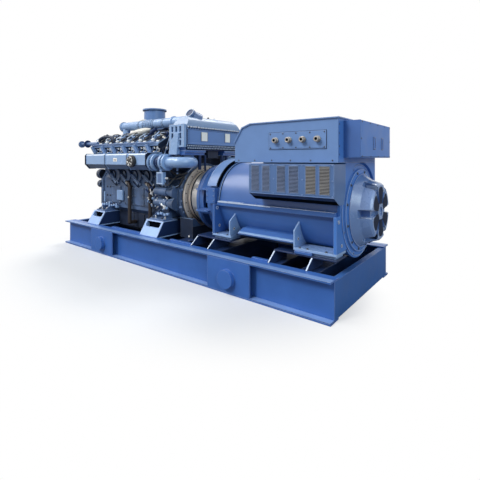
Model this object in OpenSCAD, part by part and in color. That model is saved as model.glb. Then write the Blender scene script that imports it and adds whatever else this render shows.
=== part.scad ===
// Gas engine generating set: a V12 gas engine and an alternator on one steel base frame.
// Millimetres. X runs along the shaft toward the free end of the alternator,
// -Y is the side with the cable glands, +Z is up.
// The origin is on the floor under the shaft line, below the coupling of the engine and the alternator.

/* [Base frame] */
// Length of the base frame along the shaft
base_length = 4652; // [4560:4:4720]
// Width over the outer edges of the long beams
base_width = 1660; // [1600:10:1800]
// Height of the long beams
beam_height = 360; // [320:5:420]
// Width of the beam flanges
flange_width = 170; // [140:5:200]
// Thickness of the beam flanges
flange_thickness = 15; // [10:1:20]
// Thickness of the beam webs
web_thickness = 12; // [8:1:18]
// Radius of the round lifting bosses
boss_radius = 95; // [70:5:120]
// How far each lifting boss stands out of the frame
boss_reach = 50; // [30:5:80]
// Length of each closing plate behind a lifting boss
pad_length = 560; // [450:10:620]

/* [Supports] */
// Height of the top of the engine pedestals above the floor
engine_seat_height = 550; // [520:5:570]
// Height of the top of the alternator pedestals above the floor
alternator_seat_height = 468; // [450:2:480]
// How far the pedestal front faces lean in at the top
pedestal_lean = 115; // [80:5:130]
// Plate thickness of the pedestals and feet
pedestal_plate = 14; // [10:1:20]

/* [Shaft and alternator] */
// Height of the shaft centre line above the floor
shaft_height = 865; // [855:1:880]
// Radius of the alternator barrel
barrel_radius = 470; // [455:1:480]
// Radius of the guard band at the drive end
guard_radius = 518; // [505:1:530]
// Radius of the front rim of the drive end bell
bell_radius = 436; // [425:1:445]
// Radius of the steel adapter ring on the flywheel housing
adapter_radius = 425; // [410:1:432]
// Radius of the end cap at the free end
cap_radius = 318; // [300:2:326]
// Height of the terminal box
terminal_height = 410; // [360:5:450]
// How far the terminal box reaches to the gland side of the shaft
terminal_reach = 600; // [560:5:640]
// Radius of the cable gland bodies
gland_radius = 22; // [18:1:26]
// Radius of the hole through each cable gland
gland_hole_radius = 14; // [10:1:16]

/* [Engine] */
// Distance from one cylinder to the next
cylinder_pitch = 292; // [286:1:296]
// Tilt of each cylinder bank from the vertical
bank_angle = 30; // [28:0.5:31]
// Distance from the crank to the cylinder head seat
deck_distance = 540; // [530:1:560]
// Half width of the crankcase
crankcase_half = 400; // [380:5:410]
// Half width of the mixture manifolds over the flats
manifold_half = 122; // [112:1:124]
// Radius of the manifold elbow pipes
elbow_radius = 69; // [60:1:72]
// Bend radius of the manifold elbows
elbow_bend = 120; // [110:1:130]
// Radius of the exhaust stack
stack_radius = 167; // [150:1:180]
// Wall thickness of the exhaust stack
stack_wall = 8; // [5:1:12]
// Height of the top of the exhaust stack above the floor
stack_top = 2180; // [2140:2:2230]
// Radius of the inlet tube over the engine
inlet_tube_radius = 67; // [58:1:74]

/* [Charge cooler] */
// Half width of the charge cooler across the engine
cooler_half = 545; // [520:5:560]
// Depth of the charge cooler along the shaft
cooler_depth = 275; // [260:5:290]
// Height of the charge cooler box
cooler_height = 214; // [195:1:230]

/* [Hidden] */
seat_gap = 0.4;
fine = 180;
base_right = 2100;
base_left = base_right - base_length;
base_mid = (base_left + base_right) / 2;
half_width = base_width / 2;
web_y = half_width - flange_width / 2;
web_in = web_y - web_thickness / 2;
web_out = web_y + web_thickness / 2;
flange_in = half_width - flange_width;
flange_under = beam_height - flange_thickness;
pad_plate = 12;
pad_spread = 0.26 * base_length;
pad_x = [base_mid - pad_spread, base_mid + pad_spread];
ped_foot = flange_in + 30;
engine_top_y = ped_foot - pedestal_lean;
engine_pedestal_x = [[-2090, -1766], [-700, -342]];
engine_saddle_in = 20;
alternator_leg_x = [[298, 566], [base_right - 709, base_right - 297]];
alternator_top_end = [808, 2040];
alternator_in = 345;
foot_edge = 560;
foot_shim = 29;
foot_plate = 22;
foot_z0 = alternator_seat_height + foot_shim;
foot_top = foot_z0 + foot_plate;
barrel_x0 = 560;
barrel_x1 = 2010;
drive_plate_x = 530;
free_plate_x = 2040;
bell_x0 = 50;
ring_face = -108;
barrel_clearance = 45;
guard_x0 = 370;
guard_thickness = 42;
housing_x0 = 1157;
housing_x1 = 2071;
housing_half = 430;
terminal_floor = shaft_height + barrel_radius + 10;
terminal_top = terminal_floor + terminal_height;
block_x0 = -2090;
block_x1 = -440;
ring_radius = barrel_radius + 9;
block_floor = engine_seat_height + 10;
flywheel_radius = 460;
first_cylinder_x = -2033;
head_length = cylinder_pitch - 50;
head_height = 250;
head_half = 150;
cover_height = 126;
cover_half = 118;
deck_half = head_half + 10;
sump_half = 330;
manifold_y = crankcase_half + 200;
manifold_z = shaft_height + 480;
manifold_x0 = -2112;
manifold_x1 = -514;
elbow_z = manifold_z - 7;
cooler_rail_z = manifold_z + elbow_radius + 18;
cooler_slab_z = cooler_rail_z + 64;
cooler_z0 = cooler_slab_z + 72;
cooler_top = cooler_z0 + cooler_height;
cooler_x1 = 65;
cooler_x0 = cooler_x1 - cooler_depth;
cooler_mid = cooler_x1 - cooler_depth / 2;
frame_reach = 42;
vault_rise = 143;
vault_arc = (cooler_depth * cooler_depth / 4 + vault_rise * vault_rise) / (2 * vault_rise);
tube_y = 355;
tube_z = shaft_height + 1025;
tube_x0 = -1585;
stack_x = -1265;
stack_rim = 21;
valley_z = shaft_height + deck_distance * cos(bank_angle) + deck_half * sin(bank_angle);
exhaust_radius = 185;
exhaust_z = valley_z + 150;
gland_x = [1430, 1580, 1730, 1880];
gland_z = terminal_floor + 218;

module box(x0, x1, y0, y1, z0, z1) {
  translate([x0, y0, z0]) cube([x1 - x0, y1 - y0, z1 - z0]);
}

module rod_x(x0, x1, y, z, r) {
  translate([x0, y, z]) rotate([0, 90, 0]) cylinder(r = r, h = x1 - x0, $fn = fine);
}

module rod_y(x, y0, y1, z, r) {
  translate([x, y0, z]) rotate([-90, 0, 0]) cylinder(r = r, h = y1 - y0, $fn = fine);
}

module rod_z(x, y, z0, z1, r) {
  translate([x, y, z0]) cylinder(r = r, h = z1 - z0, $fn = fine);
}

module on_shaft(x0, x1, r) {
  rod_x(x0, x1, 0, shaft_height, r);
}

module to_rear() {
  mirror([0, 1, 0]) children();
}

module both_sides() {
  children();
  mirror([0, 1, 0]) children();
}

// A profile drawn in Y and Z, pushed along X.
module along_x(x0, x1) {
  translate([x0, 0, 0]) rotate([90, 0, 90]) linear_extrude(height = x1 - x0) children();
}

// A profile drawn in X and Z, pushed along Y.
module along_y(y0, y1) {
  translate([0, y1, 0]) rotate([90, 0, 0]) linear_extrude(height = y1 - y0) children();
}

// A ring about the shaft, drawn as radius and place along the shaft.
module turned(points) {
  translate([0, 0, shaft_height]) rotate([0, 90, 0]) rotate_extrude($fn = fine) polygon(points);
}

// A block on the near cylinder bank, by its distance from the crank and half width.
module bank(x0, x1, d0, d1, w) {
  translate([x0, 0, shaft_height]) rotate([bank_angle, 0, 0]) translate([0, -w, d0]) cube([x1 - x0, 2 * w, d1 - d0]);
}

// Base frame
module beam() {
  box(base_left, base_right, -half_width, -flange_in, 0, flange_thickness);
  box(base_left, base_right, -half_width, -flange_in, flange_under, beam_height);
  box(base_left, base_right, -web_out, -web_in, 0, beam_height);
}

module base_beams() {
  color("#3a5fa8") both_sides() beam();
}

module pads() {
  for (x = pad_x) {
    box(x - pad_length / 2, x + pad_length / 2, -half_width, -half_width + pad_plate, flange_thickness, flange_under);
    rod_y(x, -half_width - boss_reach, -half_width + pad_plate / 2, 0.44 * beam_height, boss_radius);
    box(x - 6, x + 6, -half_width + pad_plate, -web_out, flange_thickness, flange_under);
  }
}

module lifting_pads() {
  color("#3a5fa8") both_sides() pads();
}

module end_channel() {
  lip = 14;
  box(base_right - 15, base_right, -web_in, web_in, flange_thickness, flange_under);
  box(base_right - 60, base_right - 15, -web_in, web_in, flange_under - lip, flange_under);
  box(base_right - 60, base_right - 15, -web_in, web_in, flange_thickness, flange_thickness + lip);
}

module base_ends() {
  color("#2f5090") {
    end_channel();
    translate([2 * base_mid, 0, 0]) mirror([1, 0, 0]) end_channel();
  }
}

module base_cross_beams() {
  inner = flange_in - seat_gap;
  beam_x = concat([for (x = engine_pedestal_x) (x[0] + x[1]) / 2], [0, 610],
    [alternator_leg_x[1][0], alternator_leg_x[1][1]]);
  color("#2b4580") difference() {
    for (x = beam_x) {
      box(x - 90, x + 90, -inner, inner, 0, 12);
      box(x - 90, x + 90, -web_in, web_in, flange_under - 12, flange_under);
      box(x - 6, x + 6, -web_in, web_in, flange_thickness, flange_under);
      box(x - 6, x + 6, -inner, inner, 0, flange_under);
    }
    on_shaft(drive_plate_x, base_right, barrel_radius + barrel_clearance);
  }
}

module base_rails() {
  rail_x = [[-1404, engine_pedestal_x[1][0] - 5], [-89, alternator_leg_x[0][0] - 12],
    [1183, alternator_leg_x[1][0] - 12]];
  color("#4a70b8") for (s = [-1, 1]) for (x = rail_x) {
    box(x[0], x[1], s * flange_in - 20, s * flange_in + 20, beam_height, beam_height + 18);
  }
}

// Pedestals
module engine_pedestal(x0, x1) {
  wall = pedestal_plate;
  top = engine_seat_height;
  inner = flange_in - seat_gap;
  difference() {
    along_x(x0, x1) polygon([[-ped_foot, beam_height], [-engine_top_y, top], [-engine_saddle_in, top],
      [-engine_saddle_in, flange_under], [-inner, flange_under], [-inner, beam_height]]);
    along_x(x0 + wall, x1 - wall) polygon([[-ped_foot + wall * 1.5, beam_height - 1],
      [-engine_top_y + wall, top - wall], [-engine_saddle_in + 1, top - wall],
      [-engine_saddle_in + 1, flange_under - 1], [-inner + wall, flange_under - 1], [-inner + wall, beam_height - 1]]);
    window_z0 = top - wall - 0.36 * (top - beam_height);
    box(x0 + 32, x1 - 32, -ped_foot - 10, -engine_top_y + wall + 20, window_z0 + 30, top - wall);
    for (x = [x0 + 62, x1 - 62]) rod_y(x, -ped_foot - 10, -engine_top_y + wall + 20, window_z0 + 30, 30);
    box(x0 + 62, x1 - 62, -ped_foot - 10, -engine_top_y + wall + 20, window_z0, window_z0 + 40);
  }
}

module engine_pedestals() {
  color("#7f9cd6") both_sides() difference() {
    for (x = engine_pedestal_x) engine_pedestal(x[0], x[1]);
    on_shaft(block_x1 - seat_gap, 0, flywheel_radius + seat_gap);
  }
}

module alternator_pedestal(legs, top_end) {
  wall = pedestal_plate;
  leg_top = alternator_seat_height - wall;
  inner = flange_in - seat_gap;
  top_y = ped_foot - 5 - pedestal_lean;
  for (x = legs) {
    along_x(x - wall / 2, x + wall / 2) polygon([[-ped_foot + 5, beam_height], [-top_y, leg_top],
      [-alternator_in, leg_top], [-alternator_in, flange_under], [-inner, flange_under], [-inner, beam_height]]);
  }
  box(legs[0] - wall / 2, top_end, -top_y, -alternator_in, leg_top, alternator_seat_height);
}

module alternator_pedestals() {
  color("#7f9cd6") both_sides() for (i = [0, 1]) alternator_pedestal(alternator_leg_x[i], alternator_top_end[i]);
}

// Engine feet
module engine_foot_plates() {
  z0 = engine_seat_height;
  for (x = engine_pedestal_x) {
    box(x[0] + 60, x[1] - 20, -engine_top_y + 10, -crankcase_half, z0, z0 + 25);
    for (u = [x[0] + 75, x[1] - 47]) {
      along_x(u, u + 14) polygon([[-engine_top_y + 25, z0 + 25], [-crankcase_half, z0 + 130],
        [-crankcase_half, z0 + 25]]);
    }
  }
}

module engine_foot_row() {
  difference() {
    engine_foot_plates();
    on_shaft(block_x1 - 1, -139, flywheel_radius + seat_gap);
  }
}

module engine_feet() {
  color("#5a78b8") both_sides() engine_foot_row();
}

// Alternator feet
module foot_gusset(x) {
  difference() {
    along_x(x, x + pedestal_plate) polygon([[-foot_edge, foot_top], [-foot_edge, shaft_height - 182],
      [-432, shaft_height - 90], [-300, shaft_height - 90], [-300, foot_top]]);
    on_shaft(x - 1, x + pedestal_plate + 1, barrel_radius + seat_gap);
  }
}

module alternator_foot(x0, x1) {
  difference() {
    union() {
      box(x0, x1, -foot_edge, -alternator_in, foot_z0, foot_top);
      box(x0 + 20, x1 - 20, -foot_edge + 30, -alternator_in - 20, alternator_seat_height, foot_z0);
    }
    on_shaft(x0 - 1, x1 + 1, barrel_radius + seat_gap);
  }
}

module alternator_foot_row() {
  x0 = drive_plate_x;
  x1 = alternator_top_end[0];
  alternator_foot(x0, x1);
  foot_gusset(x1 - 26);
  u0 = free_plate_x - 440;
  alternator_foot(u0, free_plate_x);
  foot_gusset(u0);
}

module alternator_feet() {
  color("#5a78b8") both_sides() alternator_foot_row();
}

// Alternator
module alternator_barrel() {
  color("#4468b0") on_shaft(barrel_x0, barrel_x1, barrel_radius);
}

module barrel_ledges() {
  r = barrel_radius;
  color("#6f8fd0") difference() {
    union() {
      for (s = [-1, 1]) box(barrel_x0, barrel_x1, s * 485 - 30, s * 485 + 30, shaft_height - 25, shaft_height + 24);
      both_sides() along_x(alternator_top_end[0] + 98, free_plate_x - 440 - seat_gap) polygon([
        [-foot_edge, foot_top + 37], [-foot_edge, foot_top + 53], [-470, foot_top + 96], [-380, foot_top + 96],
        [-380, foot_top + 80], [-466, foot_top + 80]]);
    }
    on_shaft(barrel_x0 - 1, barrel_x1 + 1, r + seat_gap);
  }
}

module end_plate(x0, x1) {
  difference() {
    union() {
      on_shaft(x0, x1, ring_radius);
      box(x0, x1, -foot_edge, foot_edge, foot_top, shaft_height - 12);
    }
    box(x0 - 1, x1 + 1, -380, 380, foot_top - 1, shaft_height - 340);
  }
}

module drive_end_plate() {
  color("#4468b0") {
    end_plate(drive_plate_x, barrel_x0);
    difference() {
      for (s = [-1, 1]) box(392, drive_plate_x, s * 480 - 45, s * 480 + 45, shaft_height - 8, shaft_height + 172);
      on_shaft(391, drive_plate_x, barrel_radius + 9);
    }
  }
}

module guard_band() {
  inner = guard_radius - guard_thickness;
  color("#4468b0") difference() {
    turned([[inner, guard_x0], [guard_radius, guard_x0], [guard_radius - 8, drive_plate_x], [inner, drive_plate_x]]);
    box(guard_x0 - 1, drive_plate_x + 1, -guard_radius - 10, guard_radius + 10,
      shaft_height - guard_radius - 20, shaft_height + 192);
  }
}

module drive_end_bell() {
  rim = guard_radius - guard_thickness - 12;
  x0 = bell_x0 + 85;
  color("#3c5ea5") difference() {
    union() {
      turned([[340, x0], [bell_radius, x0], [bell_radius + 4, x0 + 40], [bell_radius - 12, x0 + 52],
        [rim, guard_x0], [rim, drive_plate_x], [rim - 40, drive_plate_x], [rim - 40, guard_x0 + 10],
        [bell_radius - 60, x0 + 60], [340, x0 + 60]]);
      difference() {
        for (s = [-1, 1]) for (z = [shaft_height - 126, shaft_height + 136]) {
          box(x0 + 60, 391, s * 455 - 45, s * 455 + 45, z, z + 18);
        }
        on_shaft(80, 399, 400);
      }
    }
    for (s = [-1, 1]) {
      box(262, 352, s * 450 - 160, s * 450 + 160, shaft_height - 90, shaft_height + 138);
      box(190, 345, s * 330 - 130, s * 330 + 130, shaft_height - 430, shaft_height - 165);
    }
  }
}

module adapter_ring() {
  r = adapter_radius;
  step = adapter_radius - 71;
  color("#b5ada0") turned([[330, -140], [r, -140], [r, ring_face - 6], [r - 6, ring_face], [step, ring_face],
    [step, ring_face + 40], [330, ring_face + 40]]);
}

module coupling_hub() {
  r = adapter_radius - 69;
  x0 = ring_face + 40;
  color("#c9c6c0") turned([[300, x0], [338, x0], [338, x0 + 12], [r, x0 + 12], [r, bell_x0 + 85],
    [300, bell_x0 + 85]]);
}

module free_end_bracket() {
  x = free_plate_x;
  color("#4468b0") {
    end_plate(barrel_x1, x);
    turned([[0, x], [barrel_radius - 12, x], [barrel_radius - 18, x + 8], [barrel_radius - 52, x + 10],
      [barrel_radius - 52, x + 20], [cap_radius + 92, x + 26], [cap_radius + 50, x + 30],
      [cap_radius + 45, x + 42], [0, x + 42]]);
  }
}

module free_end_cap() {
  x0 = free_plate_x + 42;
  x1 = x0 + 78;
  face = x0 + 178;
  slot = 80;
  color("#3a5fa8") difference() {
    turned([[0, x0], [cap_radius + 45, x0], [cap_radius - 8, x1], [cap_radius - 36, face - 16],
      [cap_radius - 54, face], [0, face]]);
    for (a = [0:60:300]) {
      translate([0, 0, shaft_height]) rotate([a, 0, 0]) {
        box(x0 + 58, face + 1, cap_radius - 95, cap_radius + 60, -slot / 2, slot / 2);
        box(face - 30, face + 1, 84, cap_radius + 60, -slot / 2 + 12, slot / 2 - 12);
      }
    }
    turned([[0, face - 14], [46, face - 14], [46, face + 1], [0, face + 1]]);
  }
}

module upper_housing() {
  color("#3f62ab") difference() {
    box(housing_x0, housing_x1, -housing_half, housing_half, shaft_height + 85, terminal_floor);
    on_shaft(housing_x0 - 1, barrel_x1 - 1, barrel_radius + seat_gap);
    on_shaft(barrel_x1 - 1.01, housing_x1 + 1, ring_radius + seat_gap);
    box(barrel_x1 - 1, housing_x1 + 1, -70, 70, shaft_height + 400, terminal_floor + 1);
    box(free_plate_x, housing_x1 + 1, -housing_half - 1, housing_half + 1, shaft_height + 84, shaft_height + 212);
  }
}

module louvre_box() {
  z1 = terminal_floor - 12;
  z0 = terminal_floor - 308;
  color("#4468b0") difference() {
    along_x(housing_x0, housing_x1) polygon([[-690, z0], [-690, z1], [-housing_half, z1],
      [-housing_half, z0 - 72], [-575, z0 - 72]]);
    on_shaft(housing_x0 - 1, housing_x1 + 1, ring_radius + seat_gap);
  }
}

module terminal_box() {
  lid = 12;
  t = terminal_top - lid;
  color("#4f74bd") {
    along_y(-terminal_reach, housing_half) polygon([[900, terminal_floor], [housing_x1, terminal_floor],
      [housing_x1, t], [1112, t], [1004, t - 36], [900, t - 193]]);
    along_y(-terminal_reach - 12, housing_half + 12) polygon([[900, t - 193], [1004, t - 36], [1112, t],
      [housing_x1 + 10, t], [housing_x1 + 10, t + lid], [1108, t + lid], [997, t - 25], [891, t - 187]]);
  }
}

module gland_plate() {
  color("#4a6eb8") box(1348, 1960, -terminal_reach - 6, -terminal_reach, gland_z - 88, gland_z + 78);
}

module cable_glands() {
  face = -terminal_reach - 6;
  color("#c8c8c8") for (x = gland_x) {
    difference() {
      union() {
        rod_y(x, face - 14, face, gland_z, gland_radius + 8);
        rod_y(x, face - 44, face - 14, gland_z, gland_radius);
      }
      rod_y(x, face - 45, face - 6, gland_z, gland_hole_radius);
    }
  }
}

module auxiliary_box() {
  z0 = terminal_floor + 48;
  color("#3a5fa8") box(housing_x1, housing_x1 + 157, -480, housing_half, z0, z0 + 332);
}

// Engine
module engine_block() {
  half = crankcase_half;
  z0 = block_floor;
  z1 = shaft_height + 215;
  color("#3c527f") {
    along_x(block_x0, block_x1) polygon([[-half + 70, z0], [-half, z0 + 60], [-half, z1], [-250, z1 + 160],
      [250, z1 + 160], [half, z1], [half, z0 + 60], [half - 70, z0]]);
    bank(block_x0, block_x1, 200, deck_distance, deck_half);
    to_rear() bank(block_x0, block_x1, 200, deck_distance, deck_half);
    both_sides() for (i = [0:3]) {
      x = block_x0 + 397 + i * (cylinder_pitch - 16);
      rod_y(x, -half - 26, -half + 60, shaft_height + 262, 98);
      translate([x - 294, -half - 18, shaft_height + 350]) rotate([0, 34, 0]) cube([410, 60, 26]);
    }
  }
}

module oil_sump() {
  x0 = engine_pedestal_x[0][1] + 25;
  x1 = engine_pedestal_x[1][0] - 25;
  z0 = beam_height - 68;
  color("#3a5590") {
    along_x(x0, x1) polygon([[-sump_half + 40, z0], [-sump_half, z0 + 40], [-sump_half, block_floor],
      [sump_half, block_floor], [sump_half, z0 + 40], [sump_half - 40, z0]]);
    for (s = [-1, 1]) for (x = [-1400, -1140, -884]) {
      box(x - 62, x + 62, s * sump_half - 12, s * sump_half + 12, z0 + 60, block_floor - 10);
    }
  }
}

module flywheel_housing() {
  r = flywheel_radius;
  neck = r - 102;
  color("#3c5ea5") difference() {
    union() {
      turned([[0, block_x1], [neck, block_x1], [neck, -270], [r - 30, -215], [r, -200], [r, -140], [0, -140]]);
      for (s = [-1, 1]) for (z = [shaft_height + 72, shaft_height - 80]) {
        translate([-365, s * 475, z]) rotate([0, 90, 0]) cylinder(r1 = 42, r2 = 84, h = 165, $fn = fine);
      }
      box(-200, 30, -400, 400, flange_under + seat_gap, shaft_height - 262);
    }
    on_shaft(-140, 31, adapter_radius + 12);
    on_shaft(-250, -139, 330);
  }
}

module gear_case() {
  half = crankcase_half;
  z0 = block_floor + 10;
  color("#3c527f") {
    along_x(block_x0 - 60, block_x0) polygon([[-half + 60, z0], [-half - 20, z0 + 70], [-half - 20, shaft_height + 195],
      [-300, shaft_height + 380], [300, shaft_height + 380], [half + 20, shaft_height + 195],
      [half + 20, z0 + 70], [half - 60, z0]]);
    on_shaft(block_x0 - 130, block_x0 - 60, 210);
    on_shaft(block_x0 - 190, block_x0 - 130, 150);
  }
}

// One row of heads with their valve covers and the upright clamps beside them.
module heads() {
  d0 = deck_distance;
  for (i = [0:5]) {
    x = first_cylinder_x + i * cylinder_pitch;
    h = head_length / 2;
    bank(x - h, x + h, d0, d0 + head_height, head_half);
    bank(x - h + 30, x + h - 10, d0 + head_height - 1, d0 + head_height + cover_height, cover_half);
    bank(x - h - 22, x - h + 18, d0 + head_height - 150, d0 + head_height + cover_height - 1, cover_half + 36);
  }
}

module cylinder_heads() {
  color("#8aa6dc") both_sides() heads();
}

// Section of a manifold: a box with small upper and large lower chamfers, grown by g all round.
function manifold_section(g) = let (y = manifold_y, h = manifold_half - 7 + g, z = manifold_z) [
  [-y - h, z - 43], [-y - h, z + 91], [-y - h + 20, z + h - 4], [-y + h - 20, z + h - 4],
  [-y + h, z + 91], [-y + h, z - 43], [-y + h - 66, z - h + 5], [-y - h + 66, z - h + 5]];

module manifold() {
  difference() {
    union() {
      along_x(manifold_x0, manifold_x1) polygon(manifold_section(0));
      for (x = [manifold_x0, -1530, -960, manifold_x1 - 20]) along_x(x, x + 20) polygon(manifold_section(8));
      for (i = [0:5]) {
        x = first_cylinder_x + i * cylinder_pitch - 20;
        rod_y(x, -manifold_y, -430, manifold_z + 45, 45);
      }
    }
    bank(block_x0 - 50, block_x1, 200, deck_distance + head_height + cover_height, deck_half + seat_gap);
  }
}

module mixture_manifolds() {
  color("#86a6de") both_sides() manifold();
}

module elbow() {
  y0 = -manifold_y;
  z0 = elbow_z;
  bend_x = -60;
  riser_x = cooler_mid - 8;
  for (f = [[seat_gap, 27, 120], [27, 70, 92], [70, 96, 116], [96, 144, 80], [144, 220, 76], [220, 248, 112],
    [248, 280, 82], [280, 304, 108]]) {
    rod_x(manifold_x1 + f[0], manifold_x1 + f[1], y0, z0, f[2]);
  }
  rod_x(manifold_x1 + 304, bend_x, y0, z0, elbow_radius);
  translate([bend_x, y0 + elbow_bend, z0]) rotate([0, 0, -90]) rotate_extrude(angle = 180, $fn = fine)
    translate([elbow_bend, 0]) circle(r = elbow_radius, $fn = fine);
  rod_x(riser_x, bend_x, y0 + 2 * elbow_bend, z0, elbow_radius);
  rod_z(riser_x, y0 + 2 * elbow_bend, z0, cooler_rail_z, elbow_radius);
  translate([riser_x, y0 + 2 * elbow_bend, z0]) sphere(r = elbow_radius, $fn = fine);
}

module manifold_elbows() {
  color("#86a6de") both_sides() elbow();
}

// The boxes that hang under the manifold necks and work the throttles.
module throttle_actuators() {
  color("#86a6de") for (s = [0, 1]) mirror([0, s, 0]) {
    top = elbow_z - 76 - seat_gap;
    x = manifold_x1 + 183;
    box(x - 66, x + 62, -manifold_y - 45, -manifold_y + 8, top - 210, top - 50);
    rod_z(x, -manifold_y - 12, top - 51, top, 26);
  }
}

module relief_valves() {
  y_face = manifold_y + manifold_half - 7;
  color("#1c1c1e") for (s = [0, 1]) mirror([0, s, 0]) {
    rod_y(-824, -y_face - 36, -y_face, manifold_z + 6, 82);
    rod_y(-824, -y_face - 52, -y_face - 36, manifold_z + 6, 40);
  }
}

module exhaust_housing() {
  color("#33466f") {
    rod_x(-1860, -720, 0, exhaust_z, exhaust_radius);
    box(-1860, -720, -133, 133, valley_z, exhaust_z);
  }
}

module exhaust_stack() {
  color("#4468b0") difference() {
    union() {
      rod_z(stack_x, 0, exhaust_z + 76, stack_top, stack_radius);
      rod_z(stack_x, 0, stack_top - 22, stack_top, stack_radius + stack_rim);
    }
    rod_z(stack_x, 0, exhaust_z + exhaust_radius + 40, stack_top + 1, stack_radius - stack_wall);
    rod_x(stack_x - stack_radius - 50, stack_x + stack_radius + 50, 0, exhaust_z, exhaust_radius + seat_gap);
    for (a = [15:30:345]) {
      u = stack_radius + stack_rim / 2 + 1;
      rod_z(stack_x + u * cos(a), u * sin(a), stack_top - 23, stack_top + 1, 5.5);
    }
  }
}

module inlet_tube() {
  r = inlet_tube_radius;
  y = -tube_y;
  seam = cooler_x0 - 180;
  color("#5b80c8") {
    rod_x(tube_x0, tube_x0 + 24, y, tube_z, r + 11);
    difference() {
      rod_x(tube_x0 + 24, cooler_mid - 76, y, tube_z, r);
      rod_y(cooler_mid, y - r - 9, y + r + 9, cooler_top + 18 + vault_rise - vault_arc, vault_arc + seat_gap);
    }
    for (i = [0:4]) rod_x(-998 + 38 * i, -976 + 38 * i, y, tube_z, r + 8);
    for (x = [-1136, -800, -582]) rod_x(x, x + 10, y, tube_z, r + 3);
    rod_x(seam, seam + 22, y, tube_z, r + 14);
    difference() {
      rod_z(tube_x0 + 75, y, shaft_height + 700, tube_z, r - 10);
      bank(block_x0, block_x1, 100, deck_distance + head_height + cover_height + seat_gap, 400);
    }
  }
}

// Charge cooler
module charge_cooler() {
  color("#4468b0") {
    box(cooler_x0, cooler_x1 - 8, -cooler_half, cooler_half, cooler_z0, cooler_top);
    difference() {
      box(cooler_x1 - 8, cooler_x1, -cooler_half, cooler_half, cooler_z0, cooler_top);
      box(cooler_x1 - 7, cooler_x1 + 1, -cooler_half + 26, cooler_half - 26, cooler_z0 + 22, cooler_top - 26);
    }
  }
}

module cooler_cover() {
  rise = vault_rise;
  hip = 102;
  z0 = cooler_top + 18;
  color("#7d9ad2") {
    box(cooler_x0, cooler_x1 + 14, -cooler_half, cooler_half, cooler_top, z0);
    intersection() {
      along_y(-cooler_half, cooler_half) intersection() {
        translate([cooler_mid, z0 + rise - vault_arc]) circle(r = vault_arc, $fn = fine);
        translate([cooler_x0, z0]) square([cooler_depth, rise + 1]);
      }
      along_x(cooler_x0, cooler_x1) polygon([[-cooler_half, z0], [-cooler_half + hip, z0 + rise + 1],
        [cooler_half - hip, z0 + rise + 1], [cooler_half, z0]]);
    }
    translate([cooler_mid, -230, z0 + rise - 34]) rotate([56, 0, 0]) difference() {
      union() {
        cylinder(r1 = 104, r2 = 60, h = 118, $fn = fine);
        translate([0, 0, 118]) cylinder(r = 66, h = 36, $fn = fine);
      }
      translate([0, 0, 146]) cylinder(r = 56, h = 10, $fn = fine);
    }
  }
}

module cooler_end_frames() {
  y0 = -cooler_half - frame_reach;
  z0 = cooler_slab_z + 35;
  z1 = cooler_top + 40;
  color("#7796d4") for (s = [0, 1]) mirror([0, s, 0]) {
    difference() {
      union() {
        box(cooler_x0, cooler_x1, y0, -cooler_half, z0, z1);
        box(cooler_x0, cooler_x0 + 155, y0, -cooler_half, cooler_rail_z + 14, z0);
      }
      for (i = [0:2]) for (j = [0:2]) {
        box(cooler_x0 + 41 + 74 * i, cooler_x0 + 81 + 74 * i, y0 - 1, y0 + 36, z0 + 22 + 86 * j, z0 + 92 + 86 * j);
      }
    }
    along_y(y0 - 14, y0) polygon([[cooler_x0 + 122, z0 + 180], [cooler_x0 + 192, z0 + 180],
      [cooler_x0 + 156, cooler_rail_z + 6], [cooler_x0 + 8, cooler_rail_z + 6], [cooler_x0 + 58, z0 + 92]]);
  }
}

module cooler_base() {
  color("#3c5ea5") {
    box(cooler_x0, cooler_x1 - 20, -cooler_half, cooler_half, cooler_slab_z, cooler_z0);
    both_sides() {
      box(cooler_x0 + 14, cooler_x1 - 4, -cooler_half, -190, cooler_rail_z + 34, cooler_slab_z);
      box(cooler_x0 + 14, cooler_x1 - 26, -340, -190, cooler_rail_z, cooler_rail_z + 34);
      box(cooler_x0 + 14, cooler_x1 - 26, -cooler_half, -340, cooler_rail_z, cooler_rail_z + 34);
    }
  }
}

module cooler_neck() {
  color("#1f2c4a") difference() {
    box(-290, -145, -124, 124, shaft_height + 380, cooler_slab_z);
    on_shaft(-301, -139, flywheel_radius + seat_gap);
  }
  color("#1f2c4a") box(-146, 20, -100, 100, cooler_rail_z - 40, cooler_slab_z);
}

// Small engine parts
module coolant_pipe() {
  top = deck_distance + head_height + cover_height;
  r = 26;
  w = -108;
  color("#5b80c8") translate([0, 0, shaft_height]) rotate([bank_angle, 0, 0]) {
    rod_x(-2520, -2496, w, top + r + 8, 56);
    rod_x(-2496, -2400, w, top + r + 8, 24);
    translate([-2400, w, top + r + 8]) rotate([0, 90, 0]) cylinder(r1 = 28, r2 = 60, h = 90, $fn = fine);
    rod_x(-2310, -1990, w, top + r + 8, r);
    box(first_cylinder_x - 25, first_cylinder_x + 25, w - 10, w + 22, top + seat_gap, top + r);
  }
}

module front_pulleys() {
  x = block_x0 - 60;
  color("#2a2d38") {
    rod_x(x - 80, x, -385, shaft_height + 268, 80);
    rod_x(x - 80, x, -385, shaft_height + 103, 63);
    rod_x(x - 80, x, 0, shaft_height + 300, 90);
  }
}

module starter_motors() {
  color("#2a2d38") for (s = [-1, 1]) for (z = [shaft_height + 72, shaft_height - 80]) {
    rod_x(-610, -365, s * 475, z, 54);
    rod_x(-632, -610, s * 475, z, 42);
  }
}

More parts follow.
